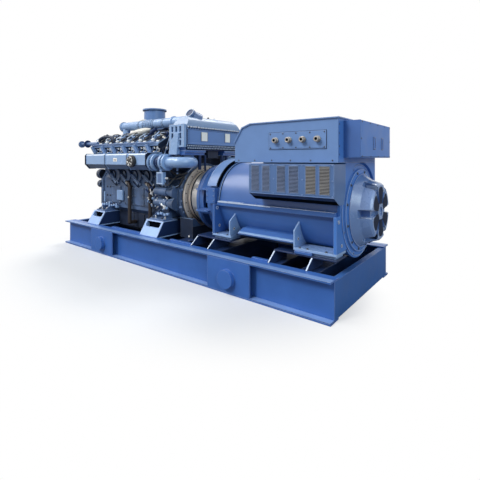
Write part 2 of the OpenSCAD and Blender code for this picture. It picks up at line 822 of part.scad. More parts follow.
module drain_hoses() {
  color("#2b211d") for (p = [[-1290, 560], [-790, 560]]) {
    y = -crankcase_half - 48;
    z1 = shaft_height + 90;
    rod_z(p[0], y, beam_height + 60, z1, 26);
    translate([p[0], y, z1]) sphere(r = 26, $fn = fine);
    rod_y(p[0], y, -crankcase_half - 14, z1, 26);
    translate([p[0], y, beam_height + 60]) sphere(r = 26, $fn = fine);
    rod_y(p[0], y, -sump_half - seat_gap, beam_height + 60, 26);
  }
}

module crankcase_doors() {
  z0 = shaft_height - 180;
  color("#5a78b8") for (s = [-1, 1]) for (x = [-1708, -1360, -1105, -853]) {
    box(x - 115, x + 115, s * (crankcase_half + 7) - 7, s * (crankcase_half + 7) + 7, z0, z0 + 270);
  }
}

base_beams();
lifting_pads();
base_ends();
base_cross_beams();
base_rails();
engine_pedestals();
alternator_pedestals();
engine_feet();
alternator_feet();
alternator_barrel();
barrel_ledges();
drive_end_plate();
guard_band();
drive_end_bell();
adapter_ring();
coupling_hub();
free_end_bracket();
free_end_cap();
upper_housing();
louvre_box();
terminal_box();
gland_plate();
cable_glands();
auxiliary_box();
engine_block();
oil_sump();
flywheel_housing();
gear_case();
cylinder_heads();
mixture_manifolds();
manifold_elbows();
throttle_actuators();
relief_valves();
exhaust_housing();
exhaust_stack();
inlet_tube();
charge_cooler();
cooler_cover();
cooler_end_frames();
cooler_base();
cooler_neck();
coolant_pipe();
front_pulleys();
starter_motors();
drain_hoses();
crankcase_doors();
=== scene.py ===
"""Looks for a gas engine generating set: paint, metals, bolts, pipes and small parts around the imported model.

Places are in metres in the frame of the part: X along the shaft toward the alternator's free end, -Y toward the
near side, which has the cable glands, and Z up from the floor.
"""
import itertools
import math
import random

import bmesh
import bpy
from mathutils import Matrix, Vector


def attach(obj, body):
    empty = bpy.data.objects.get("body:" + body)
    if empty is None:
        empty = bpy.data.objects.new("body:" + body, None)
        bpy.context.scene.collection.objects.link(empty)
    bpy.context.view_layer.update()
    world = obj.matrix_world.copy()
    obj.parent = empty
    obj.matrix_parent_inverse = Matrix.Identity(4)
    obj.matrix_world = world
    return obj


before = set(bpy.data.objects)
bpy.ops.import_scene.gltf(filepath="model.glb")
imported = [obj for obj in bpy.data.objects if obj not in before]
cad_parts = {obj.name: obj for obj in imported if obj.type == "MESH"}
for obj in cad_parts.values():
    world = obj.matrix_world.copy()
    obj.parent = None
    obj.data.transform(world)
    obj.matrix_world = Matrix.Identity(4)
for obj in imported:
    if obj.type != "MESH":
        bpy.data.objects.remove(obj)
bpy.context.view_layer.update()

SHAFT_Z = 0.865
BANK = math.radians(30.0)
CYLINDER_PITCH = 0.292
FIRST_CYLINDER_X = -2.033
CYLINDERS = [FIRST_CYLINDER_X + CYLINDER_PITCH * i for i in range(6)]
MANIFOLD_Y = 0.6
SIDES = (-1, 1)
SIDE_ENDING = {-1: "_near", 0: "", 1: "_far"}
X, Y, Z = (1, 0, 0), (0, 1, 0), (0, 0, 1)
TO_NEAR = (0, -1, 0)


# Materials

def new_tree(owner):
    """The emptied node tree of a material or world."""
    owner.use_nodes = True
    owner.node_tree.nodes.clear()
    return owner.node_tree


def node(tree, kind, inputs=None, **settings):
    """Adds a shader node. An input given another node's output is linked to it, and any other is set."""
    made = tree.nodes.new("ShaderNode" + kind)
    for key, value in settings.items():
        setattr(made, key, value)
    for key, value in (inputs or {}).items():
        if isinstance(value, bpy.types.NodeSocket):
            tree.links.new(value, made.inputs[key])
        else:
            made.inputs[key].default_value = value
    return made


def spread(tree, value, low, high, to_low, to_high, **settings):
    """The value, mapped from low...high to to_low...to_high."""
    inputs = {"Value": value, "From Min": low, "From Max": high, "To Min": to_low, "To Max": to_high}
    return node(tree, "MapRange", inputs, **settings).outputs["Result"]


def surface(name, colour, rough, metal=0.0, edge=0.0, mottle=0.12, coat=0.0, scale=5.0, bump=0.0, spec=0.5):
    """A painted or metal surface: cloudy tone, a painted highlight along its edges and uneven gloss."""
    mat = bpy.data.materials.new(name)
    tree = new_tree(mat)
    place = node(tree, "TexCoord").outputs["Object"]
    cloud_inputs = {"Vector": place, "Scale": scale, "Detail": 6.0, "Roughness": 0.62}
    cloud = node(tree, "TexNoise", cloud_inputs).outputs["Fac"]
    tone = spread(tree, cloud, 0.3, 0.7, 1.0 - mottle, 1.0 + mottle)
    paint = node(tree, "Mix", data_type="RGBA", blend_type="MULTIPLY",
                 inputs={"Factor": 1.0, "A": (*colour, 1.0), "B": tone}).outputs["Result"]
    normal = node(tree, "Bevel", {"Radius": 0.006}, samples=4).outputs["Normal"]
    # painted highlight: the colour is lightened along edges, where the bevelled normal turns from the flat one
    if edge > 0:
        flat = node(tree, "NewGeometry").outputs["Normal"]
        bend = node(tree, "VectorMath", {0: normal, 1: flat}, operation="DOT_PRODUCT").outputs["Value"]
        rim = spread(tree, bend, 0.995, 0.8, 0.0, edge)
        light = (*(min(1.0, 0.45 + 0.75 * c) for c in colour), 1.0)
        paint = node(tree, "Mix", {"Factor": rim, "A": paint, "B": light}, data_type="RGBA").outputs["Result"]
    if bump > 0:
        grain = node(tree, "TexNoise", {"Scale": 160.0, "Vector": place}).outputs["Fac"]
        relief = {"Strength": bump, "Distance": 0.002, "Height": grain, "Normal": normal}
        normal = node(tree, "Bump", relief).outputs["Normal"]
    gloss = spread(tree, cloud, 0.3, 0.7, max(0.05, rough - 0.06), rough + 0.08)
    shader = node(tree, "BsdfPrincipled", {
        "Base Color": paint, "Roughness": gloss, "Metallic": metal, "Specular IOR Level": spec,
        "Coat Weight": coat, "Coat Roughness": 0.2, "Normal": normal})
    node(tree, "OutputMaterial", {"Surface": shader.outputs["BSDF"]})
    return mat


M = {
    "frame": surface("frame_paint", (0.042, 0.128, 0.41), 0.34, edge=0.4, mottle=0.06, coat=0.12, spec=0.3),
    # a darker copy of the frame's blue, as painted shade on the beam ends
    "frame_end": surface("frame_end_painted_shade", (0.036, 0.115, 0.34), 0.4, edge=0.35, mottle=0.07, spec=0.25),
    # a lightened blue, as painted light on the lit slanted fronts of the engine pedestals
    "pedestal": surface("pedestal_paint_lit", (0.31, 0.46, 0.77), 0.36, edge=0.6, mottle=0.08),
    "machine": surface("machine_paint", (0.04, 0.122, 0.365), 0.36, edge=0.45, mottle=0.05, coat=0.3),
    # the blue of the boxes, stack and cooler, lightened as painted light where they are lit
    "box": surface("box_paint_lit", (0.14, 0.25, 0.5), 0.34, edge=0.4, mottle=0.05, coat=0.08, spec=0.35),
    "louvre": surface("louvre_paint", (0.085, 0.16, 0.34), 0.36, edge=0.35, mottle=0.06, spec=0.35),
    # painted highlight for the lit tops of the beams' flanges and the lit edges of the louvre box
    "flange": surface("flange_top_highlight", (0.17, 0.29, 0.57), 0.34, edge=0.4, mottle=0.06),
    # a bluer copy of the alternator's blue, as painted light on the faces toward the free end
    "box_side": surface("box_side_painted_light", (0.072, 0.195, 0.53), 0.4, edge=0.4, mottle=0.05, spec=0.15),
    "ring": surface("ring_metal", (0.68, 0.58, 0.5), 0.42, metal=0.25, edge=0.3, mottle=0.08, scale=9.0),
    "gland": surface("gland_metal", (0.36, 0.33, 0.3), 0.34, metal=0.7, edge=0.4, mottle=0.08, scale=20.0),
    "cover": surface("cover_paint", (0.22, 0.32, 0.5), 0.3, edge=0.5, mottle=0.05, coat=0.2),
    # a lightened, glossier copy of the alternator's blue, as painted highlight on the free-end cap
    "cap": surface("cap_paint_lit", (0.15, 0.26, 0.52), 0.24, edge=0.75, mottle=0.05, coat=0.6, spec=0.8),
    "cast": surface("cast_paint", (0.062, 0.105, 0.2), 0.4, edge=0.55, mottle=0.5, bump=0.25, scale=4.0),
    # the light paint of the engine's upper parts, also the colour of painted highlights on tops, edges and
    # pipes
    "light": surface("light_paint_and_highlight", (0.25, 0.39, 0.64), 0.25, edge=0.6, mottle=0.05, coat=0.3),
    "mid": surface("mid_paint", (0.1, 0.17, 0.34), 0.34, edge=0.5, mottle=0.15, coat=0.1),
    # dark cast parts, also the colour of painted shade under the cooler, at the bank ends and under the saddles
    "dark": surface("dark_cast", (0.016, 0.026, 0.055), 0.5, edge=0.35, mottle=0.25, bump=0.25, spec=0.3),
    # dark blue parts, also the colour of painted shade on flanks, undersides, necks, gaps and the alternator
    # pedestals
    "dark_blue": surface("dark_blue_paint_and_shade", (0.014, 0.032, 0.1), 0.36, edge=0.3, mottle=0.12, spec=0.25),
    "edge": surface("lit_edge_paint", (0.62, 0.72, 0.88), 0.4, mottle=0.06),
    "line": surface("seam_shadow", (0.008, 0.014, 0.035), 0.6, mottle=0.1, spec=0.1),
    "slat": surface("slat_paint", (0.28, 0.37, 0.6), 0.4, edge=0.3, mottle=0.1),
    "slat_warm": surface("slat_warm_paint", (0.46, 0.44, 0.43), 0.4, edge=0.3, mottle=0.1),
    "steel": surface("bare_steel", (0.66, 0.64, 0.62), 0.36, metal=0.8, edge=0.2, mottle=0.1, scale=14.0),
    "bright": surface("bright_metal", (0.75, 0.74, 0.72), 0.3, metal=0.85, mottle=0.04, scale=8.0),
    "black": surface("black_rubber", (0.01, 0.011, 0.014), 0.45, edge=0.2, mottle=0.2),
    "hose": surface("hose_brown", (0.02, 0.012, 0.01), 0.5, mottle=0.2),
    "tan": surface("primer_tan", (0.2, 0.17, 0.14), 0.6, mottle=0.15),
    "label": surface("label_white", (1.0, 0.95, 0.86), 0.4, mottle=0.04),
    "plate": surface("bare_plate", (0.9, 0.88, 0.85), 0.35, mottle=0.05),
    "cream": surface("cream_lagging", (0.72, 0.69, 0.62), 0.6, mottle=0.12, scale=30.0),
    # painted shade inside holes, hollows, recesses and gaps
    "hollow": surface("hollow_painted_shade", (0.004, 0.006, 0.01), 0.9, mottle=0.1, spec=0.0),
}

# The nodes of the imported model that wear each look; some looks are painted light and some painted shade
NODES_OF_LOOK = {
    "frame": "base_beams lifting_pads base_rails", "frame_end": "base_ends",
    # the alternator pedestals wear dark blue as painted shade on their tops
    "dark_blue": "base_cross_beams alternator_pedestals", "pedestal": "engine_pedestals",
    "mid": "engine_feet coolant_pipe",
    # the alternator feet wear light as painted light on their lit faces
    "light": "alternator_feet cylinder_heads mixture_manifolds manifold_elbows throttle_actuators "
             "inlet_tube cooler_end_frames",
    "machine": "alternator_barrel barrel_ledges drive_end_plate drive_end_bell cooler_base",
    "box": "guard_band terminal_box gland_plate exhaust_stack charge_cooler", "ring": "adapter_ring",
    "steel": "coupling_hub", "box_side": "free_end_bracket upper_housing auxiliary_box",
    "cap": "free_end_cap", "louvre": "louvre_box", "gland": "cable_glands",
    "cast": "engine_block flywheel_housing gear_case starter_motors crankcase_doors",
    "dark": "oil_sump exhaust_housing cooler_neck", "black": "relief_valves front_pulleys",
    "cover": "cooler_cover", "hose": "drain_hoses",
}
for look, names in NODES_OF_LOOK.items():
    for name in names.split():
        cad_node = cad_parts[name]
        if not cad_node.material_slots:
            cad_node.data.materials.append(M[look])
        for node_slot in cad_node.material_slots:
            node_slot.material = M[look]


# Shape helpers

def bank_frame(side):
    """Turns (along, across, out) of a cylinder bank into the shared frame."""
    c, s = math.cos(BANK), math.sin(BANK)
    return Matrix(((1, 0, 0, 0), (0, -side * c, side * s, 0), (0, s, c, SHAFT_Z), (0, 0, 0, 1)))


def round_shaft(degrees):
    """Turns places round the X axis by that angle and lifts them from it to the shaft line."""
    return Matrix.Translation(on_shaft(0)) @ Matrix.Rotation(math.radians(degrees), 4, "X")


def on_shaft(x):
    return (x, 0, SHAFT_Z)


def evenly(count, first):
    """The angles of that many places round a circle, in degrees, from the first one on."""
    return [first + 360 / count * k for k in range(count)]


def around(centre, radius, angles, plane="yz"):
    """The places at those angles, in degrees, round centre in the plane named."""
    places = []
    for angle in map(math.radians, angles):
        place = list(centre)
        place["xyz".index(plane[0])] += radius * math.cos(angle)
        place["xyz".index(plane[1])] += radius * math.sin(angle)
        places.append(place)
    return places


def cross_axes(axis):
    """Two directions that are square to axis and to each other."""
    other = Vector(Z) if abs(axis.z) < 0.9 else Vector(X)
    u = axis.cross(other).normalized()
    return u, axis.cross(u)


def circle(centre, u, v, radius, sides, shift=0.0):
    """The corners of a ring round centre in the plane of u and v."""
    angles = [2 * math.pi * (i + shift) / sides for i in range(sides)]
    return [centre + (u * math.cos(a) + v * math.sin(a)) * radius for a in angles]


def rounded_path(points, radius, steps=5):
    """The points with every corner between the ends rounded off."""
    path = [points[0]]
    for before, here, after in zip(points, points[1:], points[2:]):
        a, b = before - here, after - here
        r = min(radius, a.length * 0.48, b.length * 0.48)
        start, end = here + a.normalized() * r, here + b.normalized() * r
        for i in range(steps + 1):
            t = i / steps
            path.append(start * (1 - t) ** 2 + here * 2 * t * (1 - t) + end * t ** 2)
    path.append(points[-1])
    return path


def bevelled_block(low, high, bevel):
    """The corners and faces of a box whose twelve edges are chamfered by bevel."""
    verts = []
    for ends in itertools.product((0, 1), repeat=3):
        outer = [(low, high)[end][k] for k, end in enumerate(ends)]
        inner = [outer[k] - bevel if end else outer[k] + bevel for k, end in enumerate(ends)]
        verts += [Vector([outer[k] if k == facing else inner[k] for k in range(3)]) for facing in range(3)]
    step = (12, 6, 3)  # how far on in verts the other end of X, Y and Z is
    axes = ((0, 1, 2), (1, 0, 2), (2, 0, 1))
    faces = []
    for facing, a, b in axes:
        for start in (facing, facing + step[facing]):
            faces.append([start, start + step[a], start + step[a] + step[b], start + step[b]])
    for along, a, b in axes:
        for start in (0, step[b], step[a], step[a] + step[b]):
            faces.append([start + a, start + b, start + step[along] + b, start + step[along] + a])
    faces += [(3 * corner, 3 * corner + 1, 3 * corner + 2) for corner in range(8)]
    return verts, faces


class Piece:
    """Collects simple solids of one look and turns them into one named piece.

    A piece of the near side is given its places as on the far side, and mirrors them. A piece on a cylinder
    bank is given them as (along, across, out) of the bank.
    """

    def __init__(self, name, look, side=1, bank=None):
        self.name, self.look, self.side, self.bank = name, look, side, bank
        self.verts, self.faces, self.smooth = [], [], []

    def at(self, place):
        """That place in the shared frame."""
        if self.bank is not None:
            return self.bank @ Vector(place)
        x, y, z = place
        return Vector((x, self.side * y, z))

    def toward(self, axis):
        """That direction in the shared frame."""
        turned = self.at(axis) if self.bank is None else self.bank.to_3x3() @ Vector(axis)
        return turned.normalized()

    def add(self, verts, faces, smooth=False, caps=()):
        """Adds faces and flat caps, which both count from the first of verts."""
        base = len(self.verts)
        self.verts.extend(verts)
        self.faces.extend([base + i for i in face] for face in (*faces, *caps))
        self.smooth.extend([smooth] * len(faces) + [False] * len(caps))

    def skin(self, verts, sides, smooth=True, closed=False, capped=True):
        """Joins rings of corners, each to the next one. closed joins the last ring to the first."""
        rings = len(verts) // sides
        faces = []
        for k in range(rings if closed else rings - 1):
            here, there = k * sides, (k + 1) % rings * sides
            for i, j in zip(range(sides), (*range(1, sides), 0)):
                faces.append((here + i, there + i, there + j, here + j))
        caps = [range(sides), range(len(verts) - 1, len(verts) - 1 - sides, -1)] if capped else ()
        self.add(verts, faces, smooth, caps)

    def block(self, x0, x1, y0, y1, z0, z1, bevel=0.0, turn=None):
        """A box, in the frame of turn or of the bank if there is one."""
        y0, y1 = sorted((self.side * y0, self.side * y1))
        bevel = min(bevel, 0.49 * abs(x1 - x0), 0.49 * (y1 - y0), 0.49 * abs(z1 - z0))
        if bevel > 0:
            verts, faces = bevelled_block((x0, y0, z0), (x1, y1, z1), bevel)
        else:
            verts = [Vector(corner) for corner in itertools.product((x0, x1), (y0, y1), (z0, z1))]
            faces = [(0, 1, 3, 2), (4, 6, 7, 5), (0, 4, 5, 1), (2, 3, 7, 6), (0, 2, 6, 4), (1, 5, 7, 3)]
        turn = self.bank if turn is None else turn
        self.add(verts if turn is None else [turn @ v for v in verts], faces)

    def solid_rod(self, start, end, radius, sides, cap_bevel=0.0):
        """A rod between two places in the shared frame."""
        axis = (end - start).normalized()
        rings = [(start, radius), (end, radius)]
        if cap_bevel > 0:
            rings = [(start, radius - cap_bevel), (start + axis * cap_bevel, radius),
                     (end - axis * cap_bevel, radius), (end, radius - cap_bevel)]
        u, v = cross_axes(axis)
        verts = [corner for centre, r in rings for corner in circle(centre, u, v, r, sides, 0.5)]
        self.skin(verts, sides, sides > 8)

    def rod(self, start, end, radius, sides, cap_bevel=0.0):
        self.solid_rod(self.at(start), self.at(end), radius, sides, cap_bevel)

    def bolts(self, places, axis, size, height):
        """Hexagon heads with thin washers, which stand on those places and point along axis."""
        axis = self.toward(axis)
        for centre in map(self.at, places):
            self.solid_rod(centre - axis * 0.001, centre + axis * 0.002, size * 1.35, 14)
            self.solid_rod(centre, centre + axis * height, size, 6, size * 0.12)

    def pipe(self, places, radius, sides):
        """A bent pipe through those places, with its corners rounded."""
        path = rounded_path([self.at(place) for place in places], radius * 2.2)
        ends = zip([path[0], *path], [*path[1:], path[-1]])
        tangents = [(after - before).normalized() for before, after in ends]
        u = cross_axes(tangents[0])[0]
        verts = []
        for centre, tangent in zip(path, tangents):
            u = (u - tangent * u.dot(tangent)).normalized()
            verts += circle(centre, u, tangent.cross(u), radius, sides)
        self.skin(verts, sides)

    def profile(self, outline, x, depth, turn=None):
        """A flat outline of (y, z) points at x, pushed along X by depth."""
        to_world = Matrix(((0, 0, 1, x), (1, 0, 0, 0), (0, 1, 0, 0), (0, 0, 0, 1)))
        if turn is not None:
            to_world = turn @ to_world
        outline = [(self.side * y, z) for y, z in outline][::self.side]
        n = len(outline)
        faces = [range(n - 1, -1, -1), range(n, 2 * n)]
        faces += [(i, (i + 1) % n, n + (i + 1) % n, n + i) for i in range(n)]
        self.add([to_world @ Vector((y, z, d)) for d in (0, depth) for y, z in outline], faces)

    def strip(self, x0, x1, a, b, lift):
        """A thin sheet from x0 to x1 that lies on the slope from a to b, both (y, z)."""
        a, b = (Vector((0, self.side * y, z)) for y, z in (a, b))
        run = (b - a).normalized()
        out = Vector((0, run.z, -run.y)) * (lift * self.side)
        self.add([corner + Vector((x, 0, 0)) for x in (x0, x1) for corner in (a, b, b + out, a + out)],
                 [(3, 2, 1, 0), (4, 5, 6, 7), (0, 1, 5, 4), (1, 2, 6, 5), (2, 3, 7, 6), (3, 0, 4, 7)])

    def lathe(self, points, origin, axis, sides, closed=False):
        """A turned shape. Its points are (radius, distance along axis)."""
        origin, axis = self.at(origin), self.toward(axis)
        u, v = cross_axes(axis)
        verts = [corner for r, h in points for corner in circle(origin + axis * h, u, v, r, sides)]
        self.skin(verts, sides, closed=closed, capped=False)

    def ring(self, origin, axis, inner, outer, near, far, sides=40):
        """A ring between two radii and two distances along axis."""
        self.lathe([(inner, near), (outer, near), (outer, far), (inner, far)], origin, axis, sides, True)

    def arc_band(self, x0, x1, r0, r1, start, stop, steps=40):
        """A curved strip of rectangular section round the shaft, in degrees from the +Y side."""
        verts = []
        for i in range(steps + 1):
            a = math.radians(start + (stop - start) * i / steps)
            for x, r in ((x0, r0), (x1, r0), (x1, r1), (x0, r1)):
                verts.append(Vector((x, r * math.cos(a), SHAFT_Z + r * math.sin(a))))
        faces = [range(4), range(4 * steps + 3, 4 * steps - 1, -1)]
        for i, k in itertools.product(range(steps), range(4)):
            m = (k + 1) % 4
            faces.append((4 * i + k, 4 * i + 4 + k, 4 * i + 4 + m, 4 * i + m))
        self.add(verts, faces)

    def done(self):
        mesh = bpy.data.meshes.new(self.name)
        mesh.from_pydata([tuple(v) for v in self.verts], [], self.faces)
        mesh.polygons.foreach_set("use_smooth", self.smooth)
        mesh.materials.append(M[self.look])
        mesh.validate()
        mesh.set_sharp_from_angle(angle=math.radians(40.0))
        obj = bpy.data.objects.new(self.name, mesh)
        bpy.context.scene.collection.objects.link(obj)
        fix_normals(mesh)
        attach(obj, "root")


def fix_normals(mesh):
    bm = bmesh.new()
    bm.from_mesh(mesh)
    bmesh.ops.recalc_face_normals(bm, faces=bm.faces)
    bm.to_mesh(mesh)
    bm.free()


# Details are gathered by name, so that each name becomes one joined piece.

parts = {}


def on(name, look, side=0, bank=None):
    """The piece of that name and side, started the first time it is asked for."""
    name += SIDE_ENDING[side]
    if name not in parts:
        parts[name] = Piece(name, look, 1 if bank is not None else side or 1, bank)
    return parts[name]


def on_bank(name, look, side):
    return on(name, look, side, bank_frame(side))


# Base frame and pedestals

BEAM_ENDS = (-2.55, 2.098)
FLANGE_Y = (0.752, 0.829)
PAD_EDGES = (-1.7155, -1.1555, 0.7035, 1.2635)  # X of the lifting pads' ends
ALTERNATOR_FOOT_TOP = 0.519
ENGINE_FOOT_TOP = 0.575
for side in SIDES:
    for x in (0.298, 0.566, 1.391, 1.803):
        # painted highlights on the lit front edges of the alternator pedestals' legs
        edges = on("pedestal_edge_highlights", "edge", side)
        edges.strip(x - 0.0068, x + 0.0068, (0.6853, 0.362), (0.5703, 0.454), 0.002)
    bolts = on("foot_bolts", "dark", side)
    bolts.bolts([(x, 0.54, ALTERNATOR_FOOT_TOP) for x in (0.59, 0.74, 1.66, 1.741, 1.933)], Z, 0.011, 0.01)
    for x in (-1.99, -1.86, -0.62, -0.42):
        bolts.bolts([(x, 0.535, ENGINE_FOOT_TOP)], Z, 0.016, 0.02)
        screw = on("foot_levelling", "bright", side)
        screw.rod((x + 0.05, 0.52, ENGINE_FOOT_TOP), (x + 0.05, 0.52, 0.61), 0.011, 12)
    # painted highlights on the upper faces and outer edges of the long beams' flanges, and weld beads up the
    # ends of the pads
    for x0, x1 in zip((BEAM_ENDS[0], *PAD_EDGES[1::2]), (*PAD_EDGES[::2], BEAM_ENDS[1])):
        on("lower_flange_highlights", "flange", side).block(x0, x1, *FLANGE_Y, 0.0202, 0.0208)
    on("upper_flange_highlights", "flange", side).block(*BEAM_ENDS, *FLANGE_Y, 0.3602, 0.3608)
    on("flange_edge_highlights", "edge", side).block(*BEAM_ENDS, 0.8285, 0.83, 0.3575, 0.3606)
    on("foot_shims", "machine", side).block(1.62, 1.8, 0.5, 0.578, 0.47, 0.4965, 0.002)
    for x in PAD_EDGES:
        on("weld_beads", "frame", side).rod((x, 0.8185, 0.017), (x, 0.8185, 0.343), 0.005, 8)

# Alternator

LEDGE_START = 0.575
for side in SIDES:
    # painted highlights along the lit edges of the barrel's ledges
    rim = on("ledge_edge_highlights", "edge", side)
    rim.block(LEDGE_START, 2.0, 0.5155 - 0.0012, 0.5155 + 0.0012, 0.884, 0.8885)
    rim.block(LEDGE_START, 1.3, 0.516 - 0.0012, 0.516 + 0.0012, 0.876, 0.8885)
    rim.block(LEDGE_START, 0.93, 0.47, 0.514, 0.8888, 0.8905)
    ledge_bolts = [(0.7 + 0.2 * i, 0.49, 0.889) for i in range(7)]
    on("ledge_bolts", "machine", side).bolts(ledge_bolts, Z, 0.009, 0.008)
    on("lifting_eyes", "bright", side).ring((2.0402, 0.514, 0.806), X, 0.012, 0.02, 0.0, 0.004, 24)
    arm_bolts = itertools.product((0.41, 0.51), (0.5255,), (0.885, 0.945, 1.005))
    on("arm_bolts", "machine", side).bolts(arm_bolts, Y, 0.008, 0.006)

on("free_end_bolts", "dark").bolts(around(on_shaft(2.0685), 0.386, evenly(12, 17)), X, 0.0105, 0.009)
on("free_end_rim_bolts", "machine").bolts(around(on_shaft(2.0485), 0.44, evenly(8, 22.5)), X, 0.009, 0.007)
CAP_FACE = 2.2594
LOBE_SHADE_FIELD = ((0.075, -0.03), (0.2, -0.075), (0.235, -0.05), (0.245, 0.0),
              (0.235, 0.05), (0.2, 0.075), (0.075, 0.03))
for k in range(6):
    # painted shade as a dark field on the face of each lobe, then the slot between two lobes: its walls in
    # painted highlight and painted shade, and its floor
    on("cap_face_shades", "line").profile(LOBE_SHADE_FIELD, CAP_FACE, 0.0009, round_shaft(30 + 60 * k))
    turn = round_shaft(60 * k)
    for w in (-0.0405, 0.0405):
        shaded = k == 3 and w < 0 or k in (2, 4) and w > 0
        wall = on("cap_slot_shades", "line") if shaded else on("cap_slot_highlights", "edge")
        wall.block(2.15, 2.252, 0.226, 0.274, w - 0.0014, w + 0.0014, turn=turn)
    on("cap_slot_floors", "machine").block(2.1405, 2.226, 0.2215, 0.2235, -0.03, 0.03, turn=turn)

# Louvre box

LOUVRES = ((1.190, 1.284), (1.324, 1.410), (1.495, 1.585), (1.626, 1.724), (1.800, 1.899), (1.936, 2.032))
LOUVRE_FACE = -0.69
LOUVRE_LOW, LOUVRE_HIGH = 1.062, 1.314
SLAT_TURN = Matrix.Rotation(math.radians(-40), 4, "X")
for k, (x0, x1) in enumerate(LOUVRES):
    # painted shade behind the slats
    on("louvre_hollow_shades", "hollow").block(x0, x1, -0.6912, LOUVRE_FACE, LOUVRE_LOW, LOUVRE_HIGH)
    slats = on("louvre_slats_warm", "slat_warm") if k > 3 else on("louvre_slats", "slat")
    for i in range(20):
        turn = Matrix.Translation((0, -0.6925, 1.069 + 0.0125 * i)) @ SLAT_TURN
        slats.block(x0 + 0.002, x1 - 0.002, -0.0045, 0.0045, -0.0016, 0.0016, 0.0005, turn)
    left, right = x0 - 0.005, x1 + 0.005
    for a, b, low, high in ((left, x0, 1.056, 1.32), (x1, right, 1.056, 1.32),
                            (left, right, LOUVRE_HIGH, 1.32), (left, right, 1.056, LOUVRE_LOW)):
        on("louvre_frames", "box").block(a, b, -0.6935, LOUVRE_FACE, low, high)
# painted highlights along the lit edges of the louvre box
edge = on("louvre_box_edge_highlights", "flange")
edge.block(1.158, 2.07, -0.6912, -0.6898, 1.037, 1.0405)
edge.block(2.068, 2.0712, -0.6912, -0.6898, 1.04, 1.332)
louvre_bolts = itertools.product((1.172, 1.454, 1.765, 2.056), (-0.6902,), (1.05, 1.187, 1.323))
on("louvre_bolts", "box").bolts(louvre_bolts, TO_NEAR, 0.005, 0.004)

# Terminal box, gland plate and auxiliary box

LOWER_BOLTS = (0.954, 1.165, 1.376, 1.591, 1.804, 2.018)
bolts = on("terminal_bolts", "dark")
bolts.bolts([(x, -0.6002, 1.366) for x in LOWER_BOLTS], TO_NEAR, 0.0058, 0.005)
gland_plate_bolts = [(1.364 + 0.145 * i, -0.6062, z) for i in range(5) for z in (1.489, 1.627)]
bolts.bolts(gland_plate_bolts, TO_NEAR, 0.0052, 0.004)
# painted light: the terminal box's face toward the free end wears the blue of the lit faces there
on("terminal_side_painted_light", "box_side").block(2.0711, 2.0717, -0.598, 0.428, 1.348, 1.74)
bolts.bolts([(2.0712, -0.574, z) for z in (1.42, 1.493, 1.609, 1.69)], X, 0.0054, 0.004)
bolts.bolts([(x, 0.4302, 1.366) for x in LOWER_BOLTS], Y, 0.0085, 0.006)
# painted shade in the gap between the barrel and the terminal box
on("terminal_gap_shade", "line").block(0.94, 1.157, -0.08, 0.08, 1.325, 1.348)
line = on("gland_plate_edge", "line")
for x0, x1, z0, z1 in ((1.3445, 1.348, 1.472, 1.6445), (1.96, 1.9635, 1.472, 1.6445),
                       (1.3445, 1.9635, 1.4715, 1.475), (1.3445, 1.9635, 1.641, 1.6445)):
    line.block(x0, x1, -0.6035, -0.6, z0, z1)
line.block(1.357, 1.951, -0.6066, -0.606, 1.4825, 1.484)
GLAND_Z = 1.563
GLAND_LIP = ((0.0145, 0.03), (0.0145, 0.047), (0.0235, 0.047), (0.0262, 0.043), (0.0262, 0.03))
for x in (1.43, 1.58, 1.73, 1.88):
    nut = on("gland_nuts", "gland")
    nut.rod((x, -0.6065, GLAND_Z), (x, -0.6165, GLAND_Z), 0.027, 6, 0.002)
    nut.lathe(GLAND_LIP, (x, -0.6035, GLAND_Z), TO_NEAR, 28, True)
    # painted shade inside the glands' throats
    on("gland_throat_shades", "hollow").rod((x, -0.607, GLAND_Z), (x, -0.6495, GLAND_Z), 0.0138, 24)
AUXILIARY_FACE = 2.228
for z, row in ((1.713, (-0.445, -0.226, 0.003, 0.237, 0.415)), (1.404, (-0.445, -0.203, 0.02, 0.237, 0.415)),
               (1.562, (-0.463, 0.417))):
    on("auxiliary_bolts", "dark").bolts([(2.2282, y, z) for y in row], X, 0.0054, 0.004)
for y in (-0.105, 0.147):
    latch = on("box_latches", "machine")
    for dy in (-0.027, 0.027):
        latch.block(AUXILIARY_FACE, 2.2335, y + dy - 0.0045, y + dy + 0.0045, 1.477, 1.588, 0.001)
    for z0, z1 in ((1.474, 1.481), (1.585, 1.592)):
        latch.block(AUXILIARY_FACE, 2.2335, y - 0.034, y + 0.034, z0, z1, 0.001)
    shade = on("latch_shadows", "line")
    for dy in (-0.0205, 0.034):
        shade.block(AUXILIARY_FACE, 2.2292, y + dy - 0.0035, y + dy, 1.48, 1.584)
    shade.block(AUXILIARY_FACE, 2.2292, y - 0.038, y + 0.034, 1.47, 1.4735)

# lit rims of the steps of the free end
for radius, x in ((0.4585, 2.0485), (0.4105, 2.0665), (0.3645, 2.0825)):
    on("free_end_rims", "edge").ring(on_shaft(x), X, radius - 0.0022, radius + 0.0006, 0.0, 0.0026, 120)
on("auxiliary_lines", "line").block(2.2281, 2.2288, -0.4795, 0.4295, 1.3985, 1.4025)
# painted shade: a darker blue on the near side of the auxiliary box
on("auxiliary_side_shade", "machine").block(2.072, 2.2275, -0.4808, -0.4801, 1.392, 1.728)


# Engine, the same on both sides

